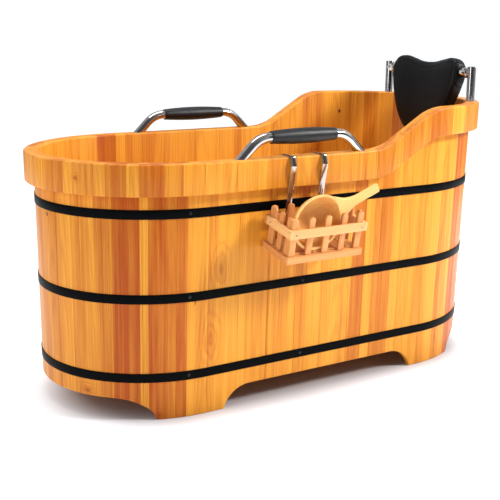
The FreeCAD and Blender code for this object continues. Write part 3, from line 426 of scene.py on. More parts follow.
def mark_end_grain(mesh):
    """Second material on faces that look up or down, where the timber is cut across."""
    normals = np.empty(len(mesh.polygons) * 3, dtype=np.float32)
    mesh.polygons.foreach_get("normal", normals)
    cut = np.abs(normals.reshape(-1, 3)[:, 2]) > 0.5
    mesh.polygons.foreach_set("material_index", cut.astype(np.int32))


GROUPS = (
    ("near_side", 0, SIDE_STAVES), ("head_end", SIDE_STAVES, END_STAVES),
    ("far_side", FAR_START, SIDE_STAVES), ("foot_end", FOOT_START, END_STAVES),
)
STAVE_TABLE = strip_table(STAVE_STRIPS, 50.8, 57.0, 5)
BLOCK_TABLE = strip_table(BLOCK_STRIPS, 50.8, 73.5, 9)


def wall_group(kind, group, first, count, stagger, inner, outer, radii, table):
    """Boards of one group, next to each other from its first joint on."""
    starts = [first + stagger + index for index in range(count)]
    shapes = [wall_board(start, inner, outer, radii, kind == "staves") for start in starts]
    node = f"{kind}_{group}"
    boards = [(points, faces) for points, faces, facts in shapes]
    piece = make_piece(f"{node}_boards", boards, "tub", (node,), weld=False)
    facts = np.concatenate([facts for points, faces, facts in shapes])
    colour_strips(piece.data, facts, table, stagger)
    mark_end_grain(piece.data)
    return piece


# Materials

def add(tree, kind, inputs=None, **settings):
    """Shader node with its settings, and its inputs given as values or as sockets to link."""
    made = tree.nodes.new(kind)
    for name, value in settings.items():
        setattr(made, name, value)
    for name, value in (inputs or {}).items():
        if isinstance(value, bpy.types.NodeSocket):
            tree.links.new(value, made.inputs[name])
        else:
            made.inputs[name].default_value = value
    return made


def sums(tree, operation, *values, clamp=False):
    """Result of a Math node on two or three values or sockets."""
    made = add(tree, "ShaderNodeMath", dict(enumerate(values)), operation=operation, use_clamp=clamp)
    return made.outputs[0]


def mix(tree, share, first, second, kind="MIX"):
    """Result of mixing two colours."""
    made = add(tree, "ShaderNodeMix", {0: share, 6: first, 7: second}, data_type="RGBA", blend_type=kind)
    return made.outputs[2]


def scaled(tree, vector, sizes):
    """Vector multiplied by one factor per direction."""
    made = add(tree, "ShaderNodeVectorMath", {0: vector, 1: sizes}, operation="MULTIPLY")
    return made.outputs[0]


def sized(tree, vector, size):
    """Vector counted in units of one size."""
    share = sums(tree, "DIVIDE", 1.0, size)
    return add(tree, "ShaderNodeVectorMath", {0: vector, 3: share}, operation="SCALE").outputs[0]


def noise(tree, vector, detail=2.0, roughness=0.5):
    """Value of a noise one unit wide."""
    inputs = {"Vector": vector, "Scale": 1.0, "Detail": detail, "Roughness": roughness}
    return add(tree, "ShaderNodeTexNoise", inputs).outputs[0]


def new_group(name, inputs, outputs):
    """Node group with named sockets; returns it with the nodes that carry them."""
    tree = bpy.data.node_groups.new(name, "ShaderNodeTree")
    for label, kind, value in inputs:
        socket = tree.interface.new_socket(name=label, in_out="INPUT", socket_type=kind)
        if value is not None:
            socket.default_value = value
    for label, kind in outputs:
        tree.interface.new_socket(name=label, in_out="OUTPUT", socket_type=kind)
    return tree, add(tree, "NodeGroupInput"), add(tree, "NodeGroupOutput")


VECTOR, NUMBER, PAINT = "NodeSocketVector", "NodeSocketFloat", "NodeSocketColor"

# Colours inside every timber, and how often a cell of its face holds a knot
RING_BROWN = colour(150, 70, 25)
FIBRE_TAN = colour(214, 160, 100)
KNOT_BROWN = colour(96, 44, 18)
FIGURE_LINE = colour(206, 128, 70)
FIGURE_CORE = colour(150, 66, 14)
KNOT_CHANCE = 0.20
KNOT_SIZE = 0.022


def timber_group():
    """Sawn timber. The rings are cylinders round the tree's own axis, which leans a little and
    wavers, so that a board shows straight lines or arched figures by how it was cut."""
    tree, given, out = new_group(
        "timber",
        (
            ("Place", VECTOR, None), ("Tone", NUMBER, 0.3),
            ("Pale", PAINT, colour(240, 170, 90)), ("Deep", PAINT, colour(200, 95, 30)),
            ("Ring Width", NUMBER, 0.0045), ("Ring Strength", NUMBER, 0.25), ("Knots", NUMBER, 0.0),
        ),
        (("Color", PAINT), ("Relief", NUMBER), ("Gloss", NUMBER)),
    )
    place = given.outputs["Place"]
    parts = add(tree, "ShaderNodeSeparateXYZ", {0: place})
    waver = sums(tree, "SUBTRACT", noise(tree, scaled(tree, place, (5, 5, 1.2)), 2.0), 0.5)
    across = sums(tree, "MULTIPLY_ADD", waver, 0.022, parts.outputs[0])
    through = sums(tree, "MULTIPLY_ADD", parts.outputs[2], 0.035, parts.outputs[1])
    radius = sums(
        tree, "SQRT",
        sums(tree, "ADD", sums(tree, "MULTIPLY", across, across), sums(tree, "MULTIPLY", through, through)),
    )
    count = sums(tree, "DIVIDE", radius, given.outputs["Ring Width"])
    wave = sums(tree, "SINE", sums(tree, "MULTIPLY", count, 2 * pi))
    late = sums(tree, "POWER", sums(tree, "MULTIPLY_ADD", wave, 0.5, 0.5), 3.0)
    year = add(tree, "ShaderNodeCombineXYZ", {0: sums(tree, "MULTIPLY", count, 0.37), 1: 3.1, 2: 5.7})
    late = sums(tree, "MULTIPLY", late, noise(tree, year.outputs[0], 0.0))
    fibre = noise(tree, scaled(tree, place, (700, 700, 7)), 3.0, 0.6)
    streak = noise(tree, scaled(tree, place, (110, 110, 1.3)), 4.0, 0.62)
    blotch = noise(tree, scaled(tree, place, (30, 30, 2.4)), 3.0, 0.55)
    tone = sums(tree, "MULTIPLY_ADD", sums(tree, "SUBTRACT", blotch, 0.5), 1.15, given.outputs["Tone"])
    tone = sums(tree, "MULTIPLY_ADD", sums(tree, "SUBTRACT", streak, 0.5), 1.10, tone, clamp=True)
    paint = mix(tree, tone, given.outputs["Pale"], given.outputs["Deep"])
    ring_share = sums(tree, "MULTIPLY", late, given.outputs["Ring Strength"])
    paint = mix(tree, ring_share, paint, RING_BROWN, "MULTIPLY")
    fibre_share = sums(tree, "MULTIPLY", sums(tree, "SUBTRACT", fibre, 0.42, clamp=True), 0.7)
    paint = mix(tree, fibre_share, paint, FIBRE_TAN, "MULTIPLY")
    face = add(tree, "ShaderNodeCombineXYZ", {
        0: sums(tree, "MULTIPLY", parts.outputs[0], 4.0),
        1: sums(tree, "MULTIPLY", parts.outputs[2], 2.6),
    })
    cells = add(
        tree, "ShaderNodeTexVoronoi", {"Vector": face.outputs[0], "Scale": 1.0, "Randomness": 1.0},
        feature="F1", voronoi_dimensions="2D",
    )
    chance = add(tree, "ShaderNodeSeparateColor", {0: cells.outputs["Color"]}).outputs[0]
    size = sums(tree, "MULTIPLY", sums(tree, "GREATER_THAN", chance, 1 - KNOT_CHANCE), KNOT_SIZE)
    away = sums(tree, "DIVIDE", cells.outputs["Distance"], sums(tree, "ADD", size, 1e-4))
    knot = sums(tree, "MULTIPLY", sums(tree, "SUBTRACT", 1.0, away), 2.5, clamp=True)
    knot = sums(tree, "MULTIPLY", knot, given.outputs["Knots"], clamp=True)
    paint = mix(tree, knot, paint, KNOT_BROWN)
    tree.links.new(paint, out.inputs["Color"])
    relief = sums(tree, "MULTIPLY_ADD", late, -0.5, sums(tree, "MULTIPLY", fibre, 0.5))
    tree.links.new(relief, out.inputs["Relief"])
    gloss = sums(tree, "MULTIPLY_ADD", fibre, 0.16, sums(tree, "MULTIPLY", blotch, 0.10))
    tree.links.new(gloss, out.inputs["Gloss"])
    return tree


def figure_group():
    """Nested ovals round a point of the timber, as where a board is cut near a branch. Distance is
    counted in half sizes of the core and wavers a little."""
    tree, given, out = new_group(
        "figure",
        (("Place", VECTOR, None), ("Centre", VECTOR, None), ("Core Size", VECTOR, None)),
        (("Core", NUMBER), ("Lines", NUMBER)),
    )
    place, size = given.outputs["Place"], given.outputs["Core Size"]
    away = add(tree, "ShaderNodeVectorMath", {0: place, 1: given.outputs["Centre"]}, operation="SUBTRACT")
    even = add(tree, "ShaderNodeVectorMath", {0: away.outputs[0], 1: size}, operation="DIVIDE")
    reach = add(tree, "ShaderNodeVectorMath", {0: even.outputs[0]}, operation="LENGTH").outputs["Value"]
    waver = sums(tree, "SUBTRACT", noise(tree, scaled(tree, place, (60, 60, 14)), 2.0), 0.5)
    reach = sums(tree, "MULTIPLY_ADD", waver, 1.6, reach)
    core = sums(tree, "MULTIPLY", sums(tree, "SUBTRACT", 1.3, reach), 1.2, clamp=True)
    tree.links.new(core, out.inputs["Core"])
    wave = sums(tree, "MULTIPLY_ADD", sums(tree, "SINE", sums(tree, "MULTIPLY", reach, 6.0)), 0.5, 0.5)
    fade = sums(tree, "MULTIPLY", sums(tree, "SUBTRACT", 3.4, reach), 0.6, clamp=True)
    tree.links.new(sums(tree, "MULTIPLY", sums(tree, "MULTIPLY", wave, wave), fade), out.inputs["Lines"])
    return tree


def handling_group():
    """Marks of use: soft smudges that change the gloss, and fine lines level round the piece."""
    tree, given, out = new_group(
        "handling",
        (("Place", VECTOR, None), ("Smudge Size", NUMBER, 0.06), ("Scratch Size", NUMBER, 0.004)),
        (("Smudges", NUMBER), ("Scratches", NUMBER)),
    )
    place = given.outputs["Place"]
    wide = sized(tree, place, given.outputs["Smudge Size"])
    tree.links.new(noise(tree, wide, 4.0, 0.6), out.inputs["Smudges"])
    fine = sized(tree, place, given.outputs["Scratch Size"])
    lines = noise(tree, scaled(tree, fine, (0.08, 0.08, 1.0)), 2.0, 0.7)
    tree.links.new(lines, out.inputs["Scratches"])
    return tree


def hide_group():
    """Leather-like hide: rounded pebbles with creases between them, and a slow unevenness."""
    tree, given, out = new_group(
        "hide",
        (("Place", VECTOR, None), ("Pebble Size", NUMBER, 0.0024), ("Dark", PAINT, colour(20, 20, 22)),
         ("Light", PAINT, colour(44, 45, 49))),
        (("Color", PAINT), ("Relief", NUMBER), ("Gloss", NUMBER)),
    )
    fine = sized(tree, given.outputs["Place"], given.outputs["Pebble Size"])
    cells = add(tree, "ShaderNodeTexVoronoi", {"Vector": fine, "Scale": 1.0}, feature="DISTANCE_TO_EDGE")
    pebble = sums(tree, "MULTIPLY", cells.outputs["Distance"], 3.0, clamp=True)
    slow = noise(tree, scaled(tree, given.outputs["Place"], (14, 14, 14)), 3.0)
    share = sums(tree, "MULTIPLY_ADD", pebble, 0.35, sums(tree, "MULTIPLY", slow, 0.5), clamp=True)
    tree.links.new(mix(tree, share, given.outputs["Dark"], given.outputs["Light"]), out.inputs["Color"])
    tree.links.new(sums(tree, "MULTIPLY_ADD", slow, 0.5, pebble), out.inputs["Relief"])
    tree.links.new(sums(tree, "MULTIPLY_ADD", pebble, -0.10, slow), out.inputs["Gloss"])
    return tree


TIMBER, FIGURE, HANDLING, HIDE = timber_group(), figure_group(), handling_group(), hide_group()


def new_material(name):
    """Material with an empty tree, its output and its surface shader."""
    material = bpy.data.materials.new(name)
    material.use_nodes = True
    tree = material.node_tree
    tree.nodes.clear()
    shader = add(tree, "ShaderNodeBsdfPrincipled")
    add(tree, "ShaderNodeOutputMaterial", {"Surface": shader.outputs[0]})
    return material, tree, shader


def effect(tree, group, **inputs):
    """One of the shared effects with this material's own values."""
    values = {name.replace("_", " "): value for name, value in inputs.items()}
    return add(tree, "ShaderNodeGroup", values, node_tree=group).outputs


def roughen(tree, shader, gloss, base, depth, relief):
    """Roughness from a mask, and a bump of a real depth from a relief."""
    tree.links.new(sums(tree, "ADD", gloss, base), shader.inputs["Roughness"])
    bump = add(tree, "ShaderNodeBump", {"Height": relief, "Strength": 1.0, "Distance": depth})
    tree.links.new(bump.outputs[0], shader.inputs["Normal"])


def timber_material(
    name, pale, deep, stored=True, tone=None, turn=(0, 0, 0), rings=0.25, width=0.0045, knots=0.0,
    rough=0.28, coat=0.08, specular=0.25, figures=(),
):
    """Lacquered timber. Its place comes from the piece's own `timber` values, or from the
    object's place turned so that the fibres run along Z. Each figure has a centre, the half
    sizes of its core, and how strong the core and the lines round it are."""
    material, tree, shader = new_material(name)
    if stored:
        place = add(tree, "ShaderNodeAttribute", attribute_name="timber").outputs["Vector"]
    else:
        world = add(tree, "ShaderNodeTexCoord").outputs["Object"]
        place = add(tree, "ShaderNodeMapping", {"Vector": world, "Rotation": turn}).outputs[0]
    if tone is None:
        tone = add(tree, "ShaderNodeAttribute", attribute_name="tone").outputs["Fac"]
    grain = effect(
        tree, TIMBER, Place=place, Tone=tone, Pale=pale, Deep=deep, Ring_Width=width, Ring_Strength=rings,
        Knots=knots,
    )
    paint = grain["Color"]
    for centre, half_width, half_height, core_share, line_share in figures:
        spot = add(tree, "ShaderNodeTexCoord").outputs["Object"]
        middle, size = tuple(Vector(centre) + MIDDLE), (half_width, half_width, half_height)
        shape = effect(tree, FIGURE, Place=spot, Centre=middle, Core_Size=size)
        lines = sums(tree, "MULTIPLY", shape["Lines"], line_share)
        paint = mix(tree, lines, paint, FIGURE_LINE, "MULTIPLY")
        core = sums(tree, "MULTIPLY", shape["Core"], core_share)
        paint = mix(tree, core, paint, FIGURE_CORE)
    tree.links.new(paint, shader.inputs["Base Color"])
    marks = effect(tree, HANDLING, Place=place, Smudge_Size=0.09, Scratch_Size=0.003)
    gloss = sums(tree, "MULTIPLY_ADD", marks["Smudges"], 0.12, grain["Gloss"])
    roughen(tree, shader, gloss, rough - 0.15, 0.00025, grain["Relief"])
    shader.inputs["Specular IOR Level"].default_value = specular
    shader.inputs["Coat Weight"].default_value = coat
    shader.inputs["Coat Roughness"].default_value = 0.18
    return material


def metal_material(name, paint, rough, smudge=0.06, brushed=0.04, metallic=1.0, specular=0.5):
    """Metal, or paint on metal, with smudges and fine brushed lines in its gloss."""
    material, tree, shader = new_material(name)
    place = add(tree, "ShaderNodeTexCoord").outputs["Object"]
    marks = effect(tree, HANDLING, Place=place, Smudge_Size=0.05, Scratch_Size=0.0015)
    shade = sums(tree, "MULTIPLY", marks["Smudges"], 0.22)
    dull = tuple(channel * 0.72 for channel in paint[:3]) + (1.0,)
    tree.links.new(mix(tree, shade, paint, dull), shader.inputs["Base Color"])
    smudged = sums(tree, "MULTIPLY", marks["Smudges"], smudge)
    gloss = sums(tree, "MULTIPLY_ADD", marks["Scratches"], brushed, smudged)
    roughen(tree, shader, gloss, rough, 0.00002, marks["Scratches"])
    shader.inputs["Metallic"].default_value = metallic
    shader.inputs["Specular IOR Level"].default_value = specular
    return material


def hide_material(name, pebble, dark, light, rough, depth, specular=0.2):
    """Cover, foam, rubber or plastic with its own pebble size and depth."""
    material, tree, shader = new_material(name)
    place = add(tree, "ShaderNodeTexCoord").outputs["Object"]
    skin = effect(tree, HIDE, Place=place, Pebble_Size=pebble, Dark=dark, Light=light)
    tree.links.new(skin["Color"], shader.inputs["Base Color"])
    gloss = sums(tree, "MULTIPLY", skin["Gloss"], 0.25)
    roughen(tree, shader, gloss, rough, depth, skin["Relief"])
    shader.inputs["Specular IOR Level"].default_value = specular
    return material


# Knots and ovals that stand out on the wall: centre, half width and half height of the core, and
# the strength of the core and of the lines round it
WALL_FIGURES = (
    ((-0.3345, -0.3075, 0.402), 0.013, 0.030, 0.42, 0.30),
    ((-0.3620, -0.3035, 0.206), 0.013, 0.034, 0.26, 0.34),
    ((-0.6912, -0.1810, 0.655), 0.006, 0.006, 0.75, 0.40),
    ((-0.6580, -0.1609, 0.074), 0.010, 0.009, 0.80, 0.40),
    ((-0.5050, -0.2751, 0.014), 0.009, 0.008, 0.80, 0.40),
    ((-0.4106, -0.3041, 0.326), 0.003, 0.012, 0.85, 0.30),
    ((0.4584, -0.2904, 0.070), 0.003, 0.020, 0.80, 0.30),
)
stave_wood = timber_material(
    "stave_timber", colour(234, 160, 52), colour(176, 78, 8), rings=0.28, knots=1.0, figures=WALL_FIGURES,
    rough=0.34, coat=0.03, specular=0.18,
)
stave_ends = timber_material(
    "stave_end_grain", colour(184, 112, 82), colour(156, 82, 52), rings=0.30,
    rough=0.34, coat=0.3, specular=0.5,
)
floor_woods = [
    timber_material(
        f"floor_timber_{index + 1}", colour(238, 170, 86), colour(196, 96, 30), stored=False, tone=tone,
        turn=(0, radians(90), radians(2 * index - 5)), rings=0.4,
    )
    for index, tone in enumerate((0.25, 0.70, 0.05, 0.85, 0.40, 0.05))
]
basket_wood = timber_material(
    "basket_timber", colour(226, 164, 98), colour(196, 112, 54), rings=0.25, width=0.003, rough=0.42, coat=0.0
)
pale_wood = timber_material(
    "pale_rail_timber", colour(240, 193, 128), colour(222, 156, 92), rings=0.2, width=0.003,
    rough=0.42, coat=0.0,
)
ladle_wood = timber_material(
    "ladle_timber", colour(240, 190, 112), colour(222, 152, 74), rings=0.25, width=0.004, rough=0.40, coat=0.0
)
hoop_steel = metal_material(
    "hoop_black_steel", colour(4, 5, 6), 0.34, smudge=0.10, metallic=0.0, specular=0.035
)
chrome = metal_material("polished_steel", colour(202, 198, 194), 0.05, smudge=0.05, brushed=0.05)
hook_chrome = metal_material("hook_steel", colour(176, 166, 158), 0.05, smudge=0.05, brushed=0.04)
screw_steel = metal_material("screw_steel_black", colour(13, 14, 16), 0.34, metallic=0.0, specular=0.3)
pin_steel = metal_material("basket_screw_steel", colour(150, 130, 112), 0.30)
grip_foam = hide_material("grip_black_foam", 0.0011, colour(6, 6, 7), colour(17, 17, 19), 0.30, 0.00008, 0.40)
cover = hide_material("cushion_black_cover", 0.0019, colour(4, 5, 6), colour(12, 13, 16), 0.27, 0.00006, 0.20)
dark_plastic = hide_material(
    "sleeve_black_plastic", 0.004, colour(18, 18, 20), colour(34, 34, 38), 0.30, 0.00002
)
seal_rubber = hide_material("seal_grey_rubber", 0.003, colour(60, 60, 62), colour(92, 92, 95), 0.50, 0.00004)
plug_rubber = hide_material("plug_black_rubber", 0.003, colour(22, 22, 24), colour(44, 44, 47), 0.42, 0.00004)


# Staves and rim blocks

# Roundings of a board's section: inner top, inner bottom, outer bottom, outer top
STAVE_EDGES = (0.005, 0.002, 0.0025, 0.0004)
BLOCK_EDGES = (0.0004, 0.0004, 0.0025, 0.005)

for kind, stagger, inner, outer, edges, table, slot in (
    ("staves", 0.0, -STAVE_THICKNESS, 0.0, STAVE_EDGES, STAVE_TABLE, "stave_wood"),
    ("rim_blocks", BLOCK_STAGGER, GLUE_GAP, BAND_THICKNESS, BLOCK_EDGES, BLOCK_TABLE, "rim_wood"),
):
    for group, first, count in GROUPS:
        boards = wall_group(kind, group, first, count, stagger, inner, outer, edges, table)
        put_on(boards, stave_wood, stave_ends)


# Hoops and their screws

HOOP_GAP = 0.00005
HOOP_THICKNESS = 0.002
HOOP_EDGE = 0.0007
HOOP_STEPS = 12
SCREW_PLACES = (3.25, FOOT_START - 3.25, FOOT_START + 0.6, STAVES - 0.6)
HOOP_SCREW_HEAD, HOOP_SCREW_RISE = 0.009, 0.0024
SLOT_HALF, SLOT_REACH, SLOT_DEPTH = 0.14, 0.62, 0.45


def hoop_shape(low, high):
    """Closed band round the wall: a strip outline with round edges, twelve to a stave, leaning in
    with the wall."""
    place = np.linspace(0, STAVES, STAVES * HOOP_STEPS, endpoint=False)
    strip = round_box((HOOP_GAP, low), (HOOP_GAP + HOOP_THICKNESS, high), (HOOP_EDGE,) * 4)
    x, y = outline(place[:, None], strip[None, :, 1], strip[None, :, 0])
    height = np.broadcast_to(strip[None, :, 1], x.shape)
    points = np.stack([x, y, height], axis=-1).reshape(-1, 3)
    return points, grid_faces(len(place), len(strip), True, True)


def screw_shape(middle, outward, head, rise):
    """Domed head with a cross slot: a cap whose height falls with the square of its radius, and
    sinks where a point lies within the cross. The cross is given as shares of the head's radius
    and of its rise."""
    rings, sides = 8, 32
    share = np.linspace(0, 1, rings)[:, None]
    turn = np.linspace(0, 2 * pi, sides, endpoint=False)[None, :]
    first, second = share * np.cos(turn), share * np.sin(turn)
    height = rise * (1 - share**2) + 0.0 * turn
    near = np.minimum(np.abs(first), np.abs(second)) < SLOT_HALF
    height = np.where(near & (share < SLOT_REACH), height - SLOT_DEPTH * rise, height)
    outward = Vector(outward).normalized()
    across = outward.orthogonal().normalized()
    other = outward.cross(across)
    cap = (
        np.array(middle)
        + (first * head / 2)[..., None] * np.array(across)
        + (second * head / 2)[..., None] * np.array(other)
        + height[..., None] * np.array(outward)
    ).reshape(-1, 3)
    return cap, grid_faces(rings, sides, wrap_cols=True) + [list(range((rings - 1) * sides, rings * sides))]


screw_shapes = []
for hoop in ("hoop_top", "hoop_middle", "hoop_bottom"):
    low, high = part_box(hoop)[0].z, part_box(hoop)[1].z
    band = make_piece(f"{hoop}_band", [hoop_shape(low, high)], "tub", (hoop,))
    put_on(band, hoop_steel)
    level = (low + high) / 2
    for place in SCREW_PLACES:
        grow = HOOP_GAP + HOOP_THICKNESS
        here = np.array([*outline(place, level, grow), level], dtype=float)
        ahead = np.array([*outline(place + 0.02, level, grow), level], dtype=float) - here
        outward = np.cross(ahead, (0, 0, 1))
        screw_shapes.append(screw_shape(here, outward, HOOP_SCREW_HEAD, HOOP_SCREW_RISE))
screws = make_piece("hoop_screw_heads", screw_shapes, "tub", ("hoop_screws",))
put_on(screws, screw_steel)


# Handles: a bent tube with both legs let into the rim, and a barrel-shaped foam grip

HANDLE_MIDDLE = -0.089
HANDLE_SPAN = 0.388
HANDLE_RISE = 0.053
LEG_ANGLE = radians(45)
HANDLE_RADIUS = 0.080
SOCKET_DEPTH = 0.042
TUBE_RADIUS = 0.014
GRIP_SETBACK = 0.0009
HANDLE_BEND = HANDLE_RADIUS * tan(LEG_ANGLE / 2) + HANDLE_RISE / tan(LEG_ANGLE)
GRIP_LENGTH = HANDLE_SPAN - 2 * (HANDLE_BEND + GRIP_SETBACK)
GRIP_END = 0.017
GRIP_MIDDLE = 0.0215
GRIP_EDGE = 0.003
GRIP_SQUEEZE = 0.0005


def handle_line(y):
    """Middle line of a handle: a leg up out of its socket, an arc of the bend radius over to the
    level, the straight top, and the same mirrored about the handle's middle."""
    ahead = np.array([cos(LEG_ANGLE), sin(LEG_ANGLE)])
    foot = np.array([-HANDLE_SPAN / 2, RIM_LOW])
    corner = foot + ahead * HANDLE_RISE / sin(LEG_ANGLE)
    tangent = HANDLE_RADIUS * tan(LEG_ANGLE / 2)
    centre = corner + np.array([tangent, -HANDLE_RADIUS])
    turn = np.linspace(LEG_ANGLE, 0, 17)
    bend = centre + HANDLE_RADIUS * np.stack([-np.sin(turn), np.cos(turn)], axis=-1)
    socket = ahead * SOCKET_DEPTH
    leg = foot - socket + np.linspace(0, 0.98, 6)[:, None] * (bend[0] - foot + socket)
    half = np.concatenate([leg, bend])
    whole = np.concatenate([half, (half * (-1, 1))[::-1]])
    return np.stack([whole[:, 0] + HANDLE_MIDDLE, np.full(len(whole), y), whole[:, 1]], axis=-1)


def grip_shape(y):
    """Barrel about the handle's straight top: the radius rises from the ends to the middle as
    end + (middle - end) * (1 - share squared), and both ends are rounded down to the tube."""
    share = np.linspace(-1, 1, 41)
    swell = GRIP_END + (GRIP_MIDDLE - GRIP_END) * (1 - share**2)
    half = GRIP_LENGTH / 2 - GRIP_EDGE
    side = np.stack([swell, share * half], axis=-1)
    start = quarter((GRIP_END - GRIP_EDGE, -half), GRIP_EDGE, 270)
    end = quarter((GRIP_END - GRIP_EDGE, half), GRIP_EDGE, 0)
    bore = TUBE_RADIUS - GRIP_SQUEEZE
    inside = np.array([[bore, half + GRIP_EDGE], [bore, -half - GRIP_EDGE]])
    profile = np.concatenate([start[:-1], side, end[1:], inside])
    return lathe(profile, (HANDLE_MIDDLE, y, RIM_LOW + HANDLE_RISE), (1, 0, 0), 56)


for side, y in (("near", -RIM_MIDDLE), ("far", RIM_MIDDLE)):
    bent = sweep(handle_line(y), circle(TUBE_RADIUS, 40), (0, 1, 0))
    tube = make_piece(f"handle_{side}_bent_tube", [bent], "tub", (f"handle_tube_{side}",))
    put_on(tube, chrome)
    grip = make_piece(f"handle_{side}_foam", [grip_shape(y)], "tub", (f"handle_grip_{side}",))
    put_on(grip, grip_foam)


# Headrest: two posts, a pivot bar with its stop collars, and the cushion

POST_RADIUS = 0.013
TUBE_WALL = 0.0015
COLLAR_EDGE = 0.0012
COLLAR_OVERLAP = 0.001
CUSHION_WIDTH = 0.316
CUSHION_FALL = 0.218
CUSHION_RISE = 0.045
CUSHION_THICKNESS = 0.060
CUSHION_LEAN = radians(8.6)
CUSHION_FULLNESS = 0.62
CUSHION_DOME = 0.006
HEM_NARROWING = 0.30
CUSHION_SEAMS = np.radians([48, 132, 228, 312])
SEAM_REACH = 0.09
SEAM_BELL = 0.022
SEAM_SINK = 0.0016
PANEL_SEAM = 0.992
PANEL_BELL = 0.006

bar_low, bar_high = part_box("pivot_bar")
PIVOT = (bar_low + bar_high) / 2 - MIDDLE

for side in ("near", "far"):
    low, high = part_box(f"headrest_post_{side}")
    middle = (low + high) / 2 - MIDDLE
    length, lip = high.z - low.z, TUBE_WALL / 2
    profile = np.concatenate([
        [[POST_RADIUS, 0.0]],
        quarter((POST_RADIUS - lip, length - lip), lip, 0),
        quarter((POST_RADIUS - lip, length - lip), lip, 90)[1:],
        [[POST_RADIUS - TUBE_WALL, 0.0]],
    ])
    upright = lathe(profile, (middle.x, middle.y, low.z), (0, 0, 1))
    post = make_piece(f"headrest_{side}_upright", [upright], "tub", (f"headrest_post_{side}",))
    put_on(post, chrome)
    low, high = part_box(f"pivot_collar_{side}")
    centre = (low + high) / 2 - MIDDLE
    outer, half = (high.z - low.z) / 2, (high.y - low.y) / 2
    edge, bore = COLLAR_EDGE, POST_RADIUS - COLLAR_OVERLAP
    profile = np.concatenate([
        [[bore, -half]],
        quarter((outer - edge, -half + edge), edge, 270),
        quarter((outer - edge, half - edge), edge, 0),
        [[bore, half]],
    ])
    ring = lathe(profile, centre, (0, 1, 0))
    collar = make_piece(f"pivot_{side}_stop_ring", [ring], "tub", (f"pivot_collar_{side}",))
    put_on(collar, chrome)
bar_line = [
    (PIVOT.x, bar_low.y - MIDDLE.y + share * (bar_high.y - bar_low.y), PIVOT.z) for share in (0, 0.5, 1)
]
rod = sweep(bar_line, circle(POST_RADIUS, 40), (1, 0, 0))
bar = make_piece("pivot_rod", [rod], "tub", ("pivot_bar",))
put_on(bar, chrome)

# The cushion's upright sections: place across, top, bottom and thickness, all as shares
CUSHION_SHARES = np.array([
    (0.00, 0.60, 1.00, 0.77),
    (0.22, 0.65, 0.99, 0.80),
    (0.50, 0.86, 0.90, 0.92),
    (0.76, 1.00, 0.66, 1.00),
    (0.93, 0.84, 0.36, 0.94),
    (1.00, 0.60, 0.20, 0.78),
])


def smooth_table(places, values, at):
    """Smooth curve through a table: cubic pieces whose slope at each row is a weighted mean of
    the slopes beside it."""
    slopes = np.gradient(values, places)
    index = np.clip(np.searchsorted(places, at, side="right") - 1, 0, len(places) - 2)
    width = places[index + 1] - places[index]
    share = (at - places[index]) / width
    near, far = values[index], values[index + 1]
    lean_near, lean_far = slopes[index] * width, slopes[index + 1] * width
    return (
        near * (2 * share**3 - 3 * share**2 + 1)
        + lean_near * (share**3 - 2 * share**2 + share)
        + far * (3 * share**2 - 2 * share**3)
        + lean_far * (share**3 - share**2)
    )


